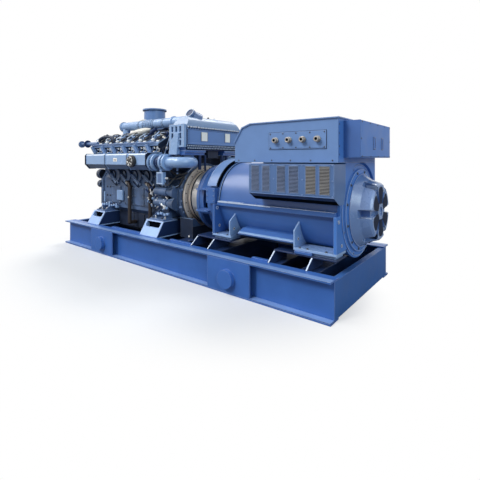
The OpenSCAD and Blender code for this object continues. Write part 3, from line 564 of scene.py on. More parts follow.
def dress_head(side, x):
    """Valve gear, cover and ignition of the cylinder at x, in the frame of its bank."""
    # painted shade in the recess under the cover
    recess = on_bank("rocker_recess_shades", "hollow", side)
    recess.block(x - 0.098, x + 0.095, -0.1205, -0.1185, 0.796, 0.873)
    recess.block(x - 0.103, x + 0.121, -0.1496, -0.1205, 0.7902, 0.7912)
    fittings = on_bank("rocker_fittings", "plate", side)
    fittings.block(x - 0.06, x - 0.03, -0.145, -0.128, 0.7912, 0.803, 0.003)
    fittings.block(x + 0.04, x + 0.06, -0.147, -0.132, 0.7912, 0.801, 0.003)
    fittings.rod((x + 0.075, -0.143, 0.798), (x + 0.1, -0.13, 0.835), 0.006, 8)
    fittings.block(x - 0.02, x + 0.004, -0.132, -0.121, 0.835, 0.862, 0.003)
    fittings.block(x + 0.052, x + 0.083, -0.136, -0.121, 0.825, 0.868, 0.004)
    fittings.rod((x + 0.02, -0.127, 0.82), (x + 0.05, -0.127, 0.862), 0.006, 8)
    tubes = on_bank("rocker_tubes", "light", side)
    tubes.rod((x - 0.095, -0.145, 0.797), (x - 0.085, -0.13, 0.86), 0.007, 8)
    tubes.rod((x - 0.02, -0.143, 0.799), (x + 0.03, -0.14, 0.799), 0.007, 8)
    rods = on_bank("rocker_rods", "mid", side)
    rods.rod((x - 0.075, -0.128, 0.8), (x - 0.035, -0.128, 0.86), 0.008, 10)
    rods.rod((x, -0.126, 0.8), (x + 0.045, -0.126, 0.818), 0.006, 10)
    # the cover's crown and bolts, and the ignition coil on top
    on_bank("rocker_crowns", "light", side).block(x - 0.1, x + 0.098, -0.136, -0.1, 0.876, 0.913, 0.014)
    crown_bolts = [(x + dx, 0.02 + dw, 0.9165) for dx in (-0.075, 0.075) for dw in (-0.07, 0.06)]
    on_bank("crown_bolts", "bright", side).bolts(crown_bolts, Z, 0.009, 0.008)
    well = on_bank("coil_wells", "dark", side)
    well.block(x - 0.085, x + 0.09, -0.07, 0.1, 0.917, 0.925, 0.003)
    well.rod((x + 0.01, 0.01, 0.92), (x + 0.01, 0.01, 0.962), 0.034, 18, 0.005)
    on_bank("coil_caps", "light", side).rod((x + 0.01, 0.01, 0.962), (x + 0.01, 0.01, 0.98), 0.026, 18, 0.005)
    plugs = on_bank("coil_plugs", "plate", side)
    plugs.block(x - 0.07, x - 0.028, -0.085, -0.045, 0.925, 0.958, 0.005)
    plugs.block(x + 0.048, x + 0.095, -0.1, -0.07, 0.918, 0.94, 0.004)
    for name, look, radius, places in (
            ("ignition_leads", "edge", 0.0062,
             ((-0.05, -0.065, 0.95), (-0.06, -0.05, 0.985), (-0.005, 0.04, 0.995), (0.05, 0.1, 0.965))),
            ("ignition_leads_dark", "black", 0.008,
             ((0.07, -0.085, 0.93), (0.09, -0.06, 0.965), (0.12, 0.03, 0.97), (0.11, 0.1, 0.95))),
            ("ignition_leads_dark", "black", 0.007,
             ((0.01, 0.01, 0.975), (0.03, 0.05, 1.01), (0.09, 0.1, 0.99), (0.1, 0.115, 0.95)))):
        on_bank(name, look, side).pipe([(x + dx, w, d) for dx, w, d in places], radius, 8)
    post = x - 0.143
    # the posts, with painted highlights on their lit faces
    posts, lights = on_bank("rocker_posts", "light", side), on_bank("rocker_post_highlights", "edge", side)
    posts.block(post - 0.012, post + 0.012, -0.158, -0.1542, 0.662, 0.913, 0.001)
    lights.block(post - 0.0115, post - 0.0035, -0.1592, -0.158, 0.67, 0.905)
    # flange bolts of the branch between head and manifold
    branch_bolts = [(x - 0.02 + dx, 0.56, 1.457) for dx in (-0.05, 0.05)]
    on("branch_bolts", "bright", side).bolts(branch_bolts, Z, 0.009, 0.008)


def dress_pushrods(side, x):
    """Pushrod covers between two cylinders with painted highlights along them, and painted shadows in arcs
    beside them on the block.
    """
    cover = on("pushrod_covers", "cast", side)
    for dx, radius in ((0.0, 0.021), (0.06, 0.016)):
        cover.rod((x + 0.165 + dx, 0.438, 1.15), (x + 0.335 + dx, 0.418, 0.995), radius, 14, 0.004)
    on("pushrod_cover_highlights", "light", side).rod((x + 0.2, 0.452, 1.15), (x + 0.345, 0.434, 1.01), 0.005, 8)
    shade = on("block_shadows", "line", side)
    arc = [130 - 165 * i / 9 for i in range(10)]
    shade.pipe(around((x + 0.245, 0.434, 1.127), 0.088, arc, "xz"), 0.0085, 8)
    shade.pipe([(x + 0.21, 0.424, 1.04), (x + 0.33, 0.41, 0.955)], 0.008, 8)


WIRING_RAIL = (0.12, 0.955)  # across and out of the bank
GAS_RAIL = (-0.135, 0.935)
ARCH_Y = 0.5


def dress_bank(side):
    """The end of the bank beside the flywheel, the rails along it and the arch over its first covers."""
    # painted shade: a dark plate and block at the end of the bank
    end = on_bank("bank_end_shade", "dark", side)
    end.block(-0.4515, -0.4485, -0.14, 0.14, 0.56, 0.91)
    end.block(-0.452, -0.43, -0.12, 0.13, 0.62, 0.84, 0.01)
    rods = on_bank("bank_end_rods", "light", side)
    rods.rod((-0.425, -0.12, 0.64), (-0.425, 0.11, 0.86), 0.009, 10)
    rods.rod((-0.422, -0.14, 0.74), (-0.422, 0.05, 0.9), 0.007, 10)
    rods.rod((-0.42, 0.0, 0.6), (-0.42, 0.13, 0.76), 0.011, 10)
    on_bank("bank_end_plugs", "plate", side).rod((-0.43, -0.06, 0.8), (-0.405, -0.06, 0.8), 0.02, 12, 0.004)
    on_bank("wiring_rail", "dark_blue", side).rod((-2.15, *WIRING_RAIL), (-0.46, *WIRING_RAIL), 0.019, 14)
    for i in range(7):
        x = -2.16 + 0.28 * i
        on_bank("wiring_clips", "plate", side).rod((x, *WIRING_RAIL), (x + 0.018, *WIRING_RAIL), 0.0225, 14)
    on_bank("gas_rail", "mid", side).rod((-2.17, *GAS_RAIL), (-0.5, *GAS_RAIL), 0.011, 12)
    arch = on("vent_arch", "dark", side)
    bends = ((-2.058, 1.66), (-2.05, 1.705), (-1.95, 1.735), (-1.76, 1.735), (-1.65, 1.7), (-1.638, 1.64))
    arch.pipe([(x, ARCH_Y, z) for x, z in bends], 0.024, 14)
    arch.rod((-1.832, ARCH_Y, 1.74), (-1.832, ARCH_Y, 1.772), 0.011, 12)
    arch.rod((-1.85, ARCH_Y, 1.772), (-1.81, ARCH_Y, 1.772), 0.006, 8)


MANIFOLD_OUTLINE = ((0.654, 1.2253), (0.546, 1.2253), (0.4753, 1.2985), (0.4753, 1.4395),
                    (0.5015, 1.4657), (0.6985, 1.4657), (0.7247, 1.4395), (0.7247, 1.2985))
RELIEF_VALVE = (-0.824, 0.7655, 1.351)
NECK = (-0.514, MANIFOLD_Y, 1.338)


def dress_manifold(side):
    """Joints, painted shade on the lower slope, a painted highlight on the upper edge, and bare plate of the
    manifold, its relief valve and its neck.
    """
    for x, width in ((-2.1112, 0.0202), (-1.5365, 0.0135), (-0.9665, 0.0135), (-0.534, 0.0205)):
        on("manifold_joints", "line", side).profile(MANIFOLD_OUTLINE, x, width)
    for x0, x1 in ((-2.0915, -1.5345), (-1.5095, -0.9645), (-0.9395, -0.5345)):
        on("manifold_underside_shades", "cast", side).strip(x0, x1, (0.7156, 1.3), (0.6496, 1.2343), 0.0008)
        on("manifold_edge_highlights", "edge", side).strip(x0, x1, (0.7156, 1.4365), (0.6956, 1.4565), -0.0008)
    on("manifold_plate", "plate", side).block(-1.307, -1.208, 0.7148, 0.7168, 1.345, 1.397, 0.0006)
    on("manifold_plate_text_field", "tan", side).block(-1.292, -1.223, 0.7165, 0.7172, 1.361, 1.375)
    # spokes, nuts, rim and spring of the relief valve
    twist = math.degrees(0.7)
    for outer, inner in zip(around(RELIEF_VALVE, 0.046, evenly(6, 15), "xz"),
                            around(RELIEF_VALVE, 0.02, evenly(6, 15 + twist), "xz")):
        on("relief_spokes", "tan", side).rod(outer, inner, 0.0055, 8)
        on("relief_nuts", "bright", side).bolts([outer], Y, 0.008, 0.008)
    on("relief_rim", "steel", side).ring(RELIEF_VALVE, Y, 0.062, 0.066, 0.0, 0.006)
    on("relief_spring", "bright", side).rod((-0.85, 0.7675, 1.318), (-0.795, 0.7675, 1.338), 0.007, 8)
    # the necks between the flanges are dark, with pale studs
    for near, far, r in ((0.028, 0.069, 0.0925), (0.097, 0.143, 0.0805),
                         (0.1445, 0.219, 0.0765), (0.249, 0.279, 0.0825)):
        on("neck_shades", "dark_blue", side).ring(NECK, X, r - 0.001, r + 0.0006, near, far)
    for _, y, z in around(NECK, 0.1, evenly(8, 22.5)):
        for x0, x1, radius, sides in ((-0.487, -0.444, 0.006, 8), (-0.418, -0.405, 0.0085, 6),
                                      (-0.266, -0.234, 0.006, 8)):
            on("neck_studs", "light", side).rod((x0, y, z), (x1, y, z), radius, sides)


ACTUATOR_FACE = 0.645
ACTUATOR_ENDS = (-0.392, -0.274)


def dress_actuator(side):
    """The throttle actuator, and the hoses between the elbow and the flywheel housing."""
    # painted highlights along the lit top and bottom edges of the actuator's cover
    for z0, z1 in ((1.058, 1.066), (1.196, 1.206)):
        on("actuator_cover_highlights", "edge", side).block(*ACTUATOR_ENDS, ACTUATOR_FACE, 0.6475, z0, z1)
    on("actuator_face", "mid", side).block(-0.371, -0.295, ACTUATOR_FACE, 0.6485, 1.072, 1.19, 0.002)
    for x in (-0.365, -0.33, -0.3):
        on("actuator_stems", "line", side).rod((x, 0.62, 1.2125), (x, 0.62, 1.245), 0.006, 8)
    on("actuator_cables", "black", side).pipe(
        ((-0.28, 0.61, 1.08), (-0.23, 0.6, 1.03), (-0.22, 0.5, 1.12), (-0.15, 0.45, 1.2)), 0.008, 8)
    on("actuator_plug", "plate", side).rod((-0.262, 0.6, 1.13), (-0.23, 0.6, 1.13), 0.013, 12)
    for radius, places in (
            (0.0135, ((-0.33, 0.48, 1.25), (-0.284, 0.48, 1.215), (-0.2, 0.48, 1.176), (-0.1, 0.47, 1.176),
                      (-0.03, 0.44, 1.2))),
            (0.016, ((-0.342, 0.48, 1.13), (-0.25, 0.48, 1.114), (-0.148, 0.47, 1.122), (-0.09, 0.43, 1.16))),
            (0.013, ((-0.284, 0.48, 1.017), (-0.2, 0.48, 1.004), (-0.14, 0.475, 1.03), (-0.1, 0.47, 1.09),
                     (-0.062, 0.46, 1.14)))):
        on("elbow_hoses", "black", side).pipe(places, radius, 10)
    shine = on("hose_highlights", "light", side)
    shine.pipe(((-0.278, 0.487, 1.0235), (-0.2, 0.487, 1.0115), (-0.148, 0.482, 1.034)), 0.0055, 8)
    shine.rod((-0.15, 0.5, 1.268), (-0.15, 0.5, 1.225), 0.0125, 12)
    shine.rod((-0.15, 0.5, 1.205), (-0.15, 0.5, 1.185), 0.011, 12)


# Places and radii of the small lit fittings round the starters
STARTER_FITTINGS = (
    (-0.505, 0.45, 0.962, 0.016), (-0.47, 0.452, 0.95, 0.018), (-0.43, 0.45, 0.938, 0.014),
    (-0.455, 0.46, 0.905, 0.012), (-0.485, 0.47, 0.783, 0.018), (-0.445, 0.474, 0.765, 0.022),
    (-0.4, 0.47, 0.744, 0.02), (-0.36, 0.465, 0.722, 0.018), (-0.42, 0.46, 0.712, 0.015),
    (-0.72, 0.44, 0.9, 0.018), (-0.68, 0.44, 0.83, 0.02), (-0.6, 0.45, 0.88, 0.014), (-0.58, 0.46, 0.81, 0.016))
FITTING_KINDS = (("starter_fittings", "plate"), ("starter_brackets", "light"), ("starter_terminals", "steel"))
# Names, looks and radii of the scattered ones
SCATTER_KINDS = (("starter_studs", "light", 0.009), ("starter_clips", "plate", 0.007),
                 ("starter_pipes", "dark_blue", 0.013), ("starter_unions", "steel", 0.009))


def dress_starters(side):
    for k, (x, y, z, radius) in enumerate(STARTER_FITTINGS):
        start, end = (x - 0.012, y + 0.035, z - 0.006), (x + 0.022, y + 0.051, z + 0.007)
        on(*FITTING_KINDS[k % 3], side).rod(start, end, radius, 10, 0.003)
    cables = on("starter_cables", "black", side)
    cables.pipe(((-0.74, 0.43, 1.0), (-0.66, 0.45, 0.96), (-0.56, 0.47, 0.99), (-0.47, 0.46, 0.95),
                 (-0.42, 0.46, 0.86)), 0.012, 8)
    cables.pipe(((-0.7, 0.43, 0.72), (-0.62, 0.46, 0.7), (-0.52, 0.47, 0.74), (-0.42, 0.48, 0.7)), 0.013, 8)
    jumble = random.Random(11)
    for k in range(34):
        start = Vector((jumble.uniform(-0.8, -0.4), jumble.uniform(0.455, 0.5), jumble.uniform(0.7, 1.0)))
        along = Vector((jumble.uniform(-0.05, 0.05), jumble.uniform(-0.01, 0.02), jumble.uniform(-0.05, 0.05)))
        name, look, radius = SCATTER_KINDS[k % 4]
        on(name, look, side).rod(start, start + along, radius, 10, 0.002)


HOSE_Y = 0.448
BLOCK_FACE = 0.4005
DOOR_FACE = 0.4142


def dress_block(side):
    """Drain hoses, box, strip, bolts and small fittings on the side of the block."""
    for x in (-1.29, -0.79):
        bend = ((x, HOSE_Y, 0.93), (x, HOSE_Y, 0.985), (x - 0.05, 0.446, 1.02), (x - 0.12, 0.425, 1.03))
        on("hose_bends", "hose", side).pipe(bend, 0.027, 12)
        clamps = on("hose_clamps", "cream", side)
        clamps.rod((x - 0.012, HOSE_Y, 0.795), (x + 0.004, HOSE_Y, 0.812), 0.0275, 12)
        clamps.rod((x - 0.075, 0.4465, 1.009), (x - 0.065, 0.443, 1.014), 0.0285, 12)
    on("block_box", "light", side).block(-1.655, -1.5, 0.402, 0.442, 0.735, 0.895, 0.006)
    on("block_strip", "light", side).block(-2.085, -2.05, 0.4, 0.412, 0.61, 0.845, 0.003)
    block_bolts = itertools.product((-1.99, -1.9, -1.78, -0.72, -0.62), (BLOCK_FACE,), (0.66, 0.79, 0.93))
    on("block_bolts", "dark", side).bolts(block_bolts, Y, 0.014, 0.01)
    fittings = on("foot_fittings", "light", side)
    for k, x in enumerate((-2.03, -1.97, -1.9, -1.83, -1.76, -1.7, -1.63)):
        z0, z1 = 0.612 + 0.012 * (k % 3), 0.655 + 0.013 * (k % 4)
        fittings.block(x - 0.022, x + 0.02, 0.425, 0.47, z0, z1, 0.006)
        pipe = ((x, 0.45, 0.64), (x + 0.03, 0.465, 0.69), (x + 0.07, 0.45, 0.65))
        on("foot_pipes", "dark_blue", side).pipe(pipe, 0.008, 8)
    for k, x in enumerate((-0.52, -0.46, -0.39, -0.33)):
        z0, z1 = 0.618 + 0.01 * (k % 2), 0.648 + 0.013 * (k % 2)
        fittings.block(x - 0.02, x + 0.018, 0.49, 0.525, z0, z1, 0.006)
    for x in (-1.708, -1.36, -1.105, -0.853):
        door_bolts = itertools.product((x - 0.098, x + 0.098), (DOOR_FACE,), (0.7, 0.82, 0.94))
        on("door_bolts", "cast", side).bolts(door_bolts, Y, 0.009, 0.007)


for side in SIDES:
    for x in CYLINDERS[:-1]:
        dress_head(side, x)
        dress_pushrods(side, x)
    dress_head(side, CYLINDERS[-1])
    dress_bank(side)
    dress_manifold(side)
    dress_actuator(side)
    dress_starters(side)
    dress_block(side)

# Middle of the engine, above and between the banks

SHIELD_OUTLINE = ((0.004, 0), (0.03, 0.06), (0.046, 0.18), (0.05, 0.32),
                  (0.04, 0.46), (0.02, 0.53), (0.004, 0.56))
# Name, look, radius, sides and places of each pipe
VALLEY_PIPES = (
    ("heat_shield_seams", "steel", 0.006, 8,
     ((-1.37, 0.43, 1.758), (-1.17, 0.447, 1.782), (-0.95, 0.43, 1.805))),
    ("gas_pipes", "cream", 0.011, 10, ((-1.066, 0.22, 1.66), (-0.99, 0.22, 1.70), (-0.86, 0.22, 1.775))),
    ("gas_pipes", "cream", 0.02, 10, ((-0.8, 0.26, 1.742), (-0.735, 0.26, 1.722), (-0.655, 0.26, 1.7))),
    ("gas_pipes", "cream", 0.0165, 10, ((-0.76, 0.3, 1.6), (-0.69, 0.3, 1.612), (-0.6, 0.3, 1.656))),
    ("oil_pipes", "light", 0.009, 10,
     ((-1.42, 0.3, 1.66), (-1.3, 0.3, 1.7), (-1.12, 0.28, 1.705), (-1.04, 0.28, 1.75))),
    ("oil_pipes", "light", 0.012, 10,
     ((-1.06, 0.31, 1.755), (-0.97, 0.3, 1.745), (-0.9, 0.3, 1.69), (-0.84, 0.3, 1.64))),
    ("oil_pipes", "light", 0.008, 10,
     ((-0.9, 0.34, 1.66), (-0.8, 0.34, 1.64), (-0.68, 0.33, 1.69), (-0.56, 0.33, 1.73))),
    ("dark_pipes", "dark_blue", 0.03, 14,
     ((-1.6, 0.33, 1.7), (-1.55, 0.36, 1.8), (-1.5, 0.37, 1.76), (-1.46, 0.37, 1.7))),
    ("dark_pipes", "dark_blue", 0.028, 14,
     ((-1.2, 0.24, 1.7), (-1.08, 0.24, 1.78), (-0.92, 0.24, 1.8), (-0.78, 0.24, 1.79), (-0.64, 0.24, 1.84))),
    ("dark_pipes", "dark_blue", 0.022, 14,
     ((-0.62, 0.4, 1.56), (-0.54, 0.42, 1.62), (-0.48, 0.42, 1.7), (-0.44, 0.4, 1.76))))
for side in SIDES:
    on("heat_shield", "cream", side).lathe(SHIELD_OUTLINE, (-1.4, 0.395, 1.75), (0.99, 0, 0.12), 20)
    for name, look, radius, sides, places in VALLEY_PIPES:
        on(name, look, side).pipe(places, radius, sides)
    on("oil_pipes", "light", side).rod((-0.98, 0.36, 1.725), (-0.93, 0.38, 1.665), 0.034, 16, 0.006)
    on("oil_pipes", "light", side).rod((-0.87, 0.35, 1.695), (-0.83, 0.36, 1.66), 0.026, 16, 0.006)
    on("open_pipe", "mid", side).ring((-1.469, 0.33, 1.735), (0.35, 0.9, 0.2), 0.036, 0.045, 0.0, 0.07, 24)
    # painted shade inside the open pipe
    on("open_pipe_shade", "hollow", side).rod((-1.467, 0.335, 1.736), (-1.447, 0.385, 1.747), 0.0355, 24)

TURBO_Z = 1.74
TURBOS = ((-1.62, 0.1), (-0.86, 0.125), (-0.56, 0.11))
casing = on("turbo_casings", "dark")
for x, r in TURBOS:
    casing.rod((x - 0.09, 0, TURBO_Z), (x + 0.09, 0, TURBO_Z), r, 36, 0.02)
casing.block(-1.74, -0.32, -0.13, 0.13, 1.6, 1.735, 0.02)
casing.block(-1.02, -0.3, -0.17, 0.17, 1.72, 1.84, 0.02)
casing.block(-0.62, -0.32, -0.33, 0.33, 1.5, 1.78, 0.02)
for x, r in TURBOS:
    on("turbo_rims", "mid").ring((x, 0, TURBO_Z), X, r - 0.017, r + 0.003, -0.012, 0.012, 36)
# painted shade under the cooler: dark blocks where the shade lies
under = on("under_cooler_shade", "dark")
under.block(-0.36, -0.21, -0.4, 0.54, 1.24, 1.428)
under.block(0.0, 0.06, 0.4, 0.53, 1.36, 1.429)
for side in SIDES:
    stays = on("under_cooler_pipes", "dark_blue", side)
    stays.rod((0.028, 0.27, 1.24), (0.028, 0.27, 1.43), 0.022, 14)
    stays.rod((0.03, 0.17, 1.22), (0.03, 0.17, 1.43), 0.014, 14)

# Inlet tube, stack and cooler

TUBE_Y, TUBE_Z = -0.355, 1.89
STACK_X = -1.265
for x in (-1.136, -0.8, -0.582):
    for near, far in ((0.021, 0.026), (-0.006, -0.001)):
        on("tube_ring_lines", "line").ring((x, TUBE_Y, TUBE_Z), X, 0.0672, 0.0692, near, far)
for i in range(6):
    fold = (-1.017 + 0.038 * i, TUBE_Y, TUBE_Z)
    on("bellows_lines", "line").ring(fold, X, 0.067, 0.0695, -0.0035, 0.0035)
on("tube_end_ring", "line").ring((-1.589, TUBE_Y, TUBE_Z), X, 0.066, 0.0795, 0, 0.006)
flange_bolts = around((-1.5872, TUBE_Y, TUBE_Z), 0.071, evenly(8, 22.5))
on("tube_flange_bolts", "bright").bolts(flange_bolts, (-1, 0, 0), 0.006, 0.005)
on("tube_bracket", "cream").pipe([(-1.16, -0.355, 1.958), (-1.1, -0.34, 1.975), (-1.02, -0.3, 1.96)], 0.008, 8)
on("stack_flange_line", "line").ring((STACK_X, 0, 2.153), Z, 0.1675, 0.1885, 0, 0.005, 60)
stack_bolts = around((STACK_X, 0, 2.155), 0.1785, evenly(12, 15), "xy")
on("stack_bolts", "dark").bolts(stack_bolts, (0, 0, -1), 0.007, 0.006)

# the inlet on the cooler's cover, with its mouth turned up and toward the near side
mouth_axis = Vector((0, -0.829, 0.559))
mouth_foot = Vector((-0.0725, -0.23, 1.909))
mouth_ends = (mouth_foot + mouth_axis * 0.1463, mouth_foot + mouth_axis * 0.148)
# painted shade inside the mouth, and a painted highlight on its lit rim
on("inlet_mouth", "dark_blue").rod(*mouth_ends, 0.0552, 40)
on("inlet_mouth_rim", "edge").ring(mouth_foot, mouth_axis, 0.0565, 0.0655, 0.154, 0.1555)
INLET_SKIN = ((0.1042, 0.0), (0.1052, 0.0), (0.0612, 0.1178), (0.0672, 0.1182),
              (0.0672, 0.1535), (0.0662, 0.1535), (0.0662, 0.1178), (0.0602, 0.1178))
on("inlet_paint", "mid").lathe(INLET_SKIN, mouth_foot, mouth_axis, 48, True)
on("inlet_band", "line").ring(mouth_foot, mouth_axis, 0.0662, 0.0675, 0.118, 0.122)
on("cover_knobs", "black").rod((-0.07, -0.005, 1.94), (-0.07, -0.005, 1.962), 0.013, 14, 0.003)
on("cover_knobs", "black").rod((-0.07, 0.115, 1.94), (-0.07, 0.115, 1.955), 0.009, 14)
# painted highlight along the lit rib on the cover
on("cover_rib_highlight", "edge").pipe([(0.02, 0.098, 1.921), (-0.06, 0.098, 1.944), (-0.145, 0.098, 1.932)], 0.006, 8)

# bolts, lines and bare plates on the cooler's face toward the alternator
COOLER_FACE = 0.065
SLAB_FACE = 0.066
FLANGE_FACE = 0.079
COOLER_Y = (-0.544, 0.544)
on("slab_faces", "line").block(COOLER_FACE, 0.0662, *COOLER_Y, 1.4985, 1.566)
for i in range(34):
    for y, z in ((-0.525 + 0.0318 * i, 1.551), (-0.525 + 0.0318 * i + 0.012, 1.521)):
        on("slab_bolts", "edge").rod((SLAB_FACE, y, z), (0.0715, y, z), 0.0085, 6)
on("slab_lines", "mid").block(0.0662, 0.0675, *COOLER_Y, 1.533, 1.538)
# painted highlight along the lit edge of the flange
on("cooler_flange_highlight", "edge").block(FLANGE_FACE, 0.0802, *COOLER_Y, 1.795, 1.7995)
for i in range(24):
    y = 0.0454 * i
    on("cooler_flange_bolts", "plate").block(FLANGE_FACE, 0.0835, -0.535 + y, -0.509 + y, 1.783, 1.7965, 0.002)
    on("cooler_flange_shade", "line").block(COOLER_FACE, 0.0656, -0.505 + y, -0.485 + y, 1.764, 1.781)
for i in range(16):
    y = 0.066 * i
    # painted shade in the gaps between the flange's bolts
    on("cooler_flange_gap_shades", "dark_blue").block(0.0802, 0.0812, -0.512 + y, -0.488 + y, 1.777, 1.7997)
for y0, y1, z0, z1 in ((-0.273, -0.162, 1.618, 1.735), (0.203, 0.305, 1.619, 1.743)):
    on("cooler_plates", "label").block(COOLER_FACE, 0.0665, y0, y1, z0, z1, 0.0005)
for y0, y1 in ((-0.28, -0.276), (-0.159, -0.155), (0.196, 0.2), (0.308, 0.312)):
    on("cooler_plate_borders", "tan").block(COOLER_FACE, 0.0658, y0, y1, 1.613, 1.743)
on("cooler_panel_lines", "mid").block(COOLER_FACE, 0.0656, -0.49, -0.487, 1.575, 1.76)
on("cooler_panel_lines", "mid").block(COOLER_FACE, 0.0656, -0.49, 0.5, 1.757, 1.76)
on("cooler_seam", "line").block(COOLER_FACE, 0.0656, -0.5445, -0.538, 1.572, 1.78)
column_bolts = [(0.0652, -0.522, 1.585 + 0.0235 * i) for i in range(8)]
on("cooler_column_bolts", "dark_blue").bolts(column_bolts, X, 0.0075, 0.006)
END_FRAME_EDGE = (0.5868, 0.588)
GUSSET_Y = 0.6012
FLANK = ((0.678, 0.3605), (0.5665, 0.543), (0.03, 0.543), (0.03, 0.3605))
for side in SIDES:
    for i, j in itertools.product(range(3), range(3)):
        x, z = 0.074 * i, 0.086 * j
        # painted shade in the end frame's windows
        on("frame_window_shades", "line", side).block(-0.169 + x, -0.129 + x, 0.5515, 0.5525, 1.553 + z, 1.623 + z)
    for x0, x1, z0, z1 in ((-0.2085, -0.2045, 1.535, 1.822), (-0.208, 0.063, 1.818, 1.822),
                           (0.0605, 0.0652, 1.535, 1.82)):
        # painted highlights on the end frame's lit edges, painted shade in the gusset's eye and a painted
        # highlight on its edge
        on("frame_edge_highlights", "edge", side).block(x0, x1, *END_FRAME_EDGE, z0, z1)
    on("gusset_eye_shade", "line", side).rod((-0.128, 0.601, 1.664), (-0.128, 0.6025, 1.664), 0.01, 16)
    on("gusset_edge_highlight", "edge", side).rod((-0.202, GUSSET_Y, 1.45), (-0.153, GUSSET_Y, 1.622), 0.0028, 6)
    # painted highlights on the rail's lit edges
    rail = on("cooler_rail_highlights", "light", side)
    rail.block(-0.18, 0.0612, 0.546, 0.5475, 1.484, 1.49)
    for z0, z1 in ((1.488, 1.493), (1.4665, 1.47)):
        rail.block(0.061, 0.0622, 0.2, 0.54, z0, z1)
    # engine pedestals: painted shade on the flank and inside, and painted highlights on the front edges
    for x0, x1 in ((-2.09, -1.766), (-0.7, -0.342)):
        on("pedestal_flank_shades", "dark_blue", side).profile(FLANK, x1, 0.0012)
        on("pedestal_hollow_shades", "hollow", side).block(x0 + 0.018, x1 - 0.018, 0.2, 0.54, 0.39, 0.532)
        edges = on("pedestal_front_highlights", "edge", side)
        edges.rod((x1, 0.69, 0.3605), (x1, 0.575, 0.5505), 0.003, 6)
        edges.rod((x0, 0.5755, 0.5505), (x1, 0.5755, 0.5505), 0.003, 6)

# Ring, drum and flywheel housing

RING_FACE = -0.108
# painted shade in the ring's holes
for _, y, z in around(on_shaft(0), 0.392, evenly(20, 9)):
    on("ring_hole_shades", "hollow").rod((-0.1085, y, z), (-0.1072, y, z), 0.0085, 14)
# grooves, back and drum in painted shade, and the rim as a painted highlight
for name, look, inner, outer, near, far in (
        ("ring_grooves", "line", 0.3545, 0.3615, RING_FACE, -0.1072),
        ("ring_grooves", "line", 0.372, 0.3755, RING_FACE, -0.1073),
        ("ring_rim_highlight", "plate", 0.4155, 0.419, RING_FACE, -0.1073),
        ("ring_back_shade", "tan", 0.4252, 0.4262, -0.14, -0.122),
        ("drum_shade", "line", 0.3562, 0.3572, -0.055, -0.035)):
    on(name, look).ring(on_shaft(0), X, inner, outer, near, far, 96)
on("housing_bolts", "mid").bolts(around(on_shaft(-0.1395), 0.4425, evenly(18, 5)), X, 0.0105, 0.012)
SADDLE_FACE = 0.4
for side in SIDES:
    lit_edge = ((-0.139, 0.19, 1.289), (-0.139, 0.26, 1.2505), (-0.139, 0.32, 1.204))
    on("housing_lit_edge", "edge", side).pipe(lit_edge, 0.005, 8)
    ribs = on("housing_ribs", "mid", side)
    ribs.pipe(((-0.33, 0.3, 1.06), (-0.24, 0.4, 1.0), (-0.142, 0.452, 0.96)), 0.016, 10)
    ribs.pipe(((-0.33, 0.3, 0.7), (-0.24, 0.4, 0.72), (-0.142, 0.452, 0.75)), 0.016, 10)
    # painted highlights along the lit cone
    lights = on("cone_highlights", "light", side)
    lights.rod((-0.345, 0.482, 0.975), (-0.21, 0.495, 1.012), 0.011, 8)
    lights.rod((-0.345, 0.482, 0.823), (-0.21, 0.495, 0.858), 0.011, 8)
    on("saddle_shade", "dark", side).block(-0.2, 0.0315, SADDLE_FACE, 0.4012, 0.347, 0.602)
    on("saddle_shade", "dark", side).block(0.03, 0.0312, 0.01, SADDLE_FACE, 0.347, 0.5)
    # painted highlight on the saddle's lit edge
    on("saddle_edge_highlight", "light", side).block(-0.2, 0.03, 0.4012, 0.4025, 0.6, 0.604)
    on("saddle_bolt", "plate", side).rod((-0.03, SADDLE_FACE, 0.375), (-0.03, 0.41, 0.375), 0.012, 12)

# Bell, barrel and the slope under the louvre box, with painted shade in gaps and hollows and on the slope, and
# painted highlights on edges

on("guard_gap_shade", "hollow").arc_band(0.5, 0.531, 0.4805, 0.5112, 22.5, 157.5)
on("guard_edge_highlights", "edge").arc_band(0.3695, 0.373, 0.517, 0.5195, 22.5, 157.5)
on("plate_edge_highlight", "light").arc_band(0.553, 0.5606, 0.4785, 0.4798, 25.0, 180.0)
on("plate_edge_highlight", "light").arc_band(0.553, 0.5606, 0.4785, 0.4798, 0.0, 25.0)
on("barrel_seams", "line").arc_band(0.5606, 0.5635, 0.4, 0.4775, 3.0, 177.0)
for side in SIDES:
    # painted shade in the bell's windows
    on("bell_hollow_shades", "hollow", side).block(0.2685, 0.3525, 0.39, 0.398, 0.778, 1.0)
    on("shackle_rings", "edge", side).ring((0.56, 0.515, 0.812), X, 0.013, 0.02, 0.0, 0.005, 28)
    for x, y, z in ((0.5605, 0.473, 0.6), (0.7965, 0.489, 0.592),
                    (1.6145, 0.489, 0.592), (2.0402, 0.444, 0.579)):
        on("lug_rims", "plate", side).ring((x, y, z), X, 0.0095, 0.0155, 0.0, 0.0012, 20)
        # painted shade in the lug holes
        on("lug_hole_shades", "hollow", side).rod((x - 0.0005, y, z), (x + 0.0008, y, z), 0.0095, 20)
UNDERSIDE_ENDS = (1.159, 2.069)
# painted shade on the downward slope under the louvre box
on("louvre_underside", "dark_blue").strip(*UNDERSIDE_ENDS, (-0.6905, 1.0365), (-0.6375, 1.0035), -0.0008)
on("louvre_underside_low", "hollow").strip(*UNDERSIDE_ENDS, (-0.6375, 1.0035), (-0.577, 0.9658), -0.0008)

# Pulley rims, painted highlights on the skirt tops and edges, short pipes beside the last heads, and the flared
# end of the coolant pipe

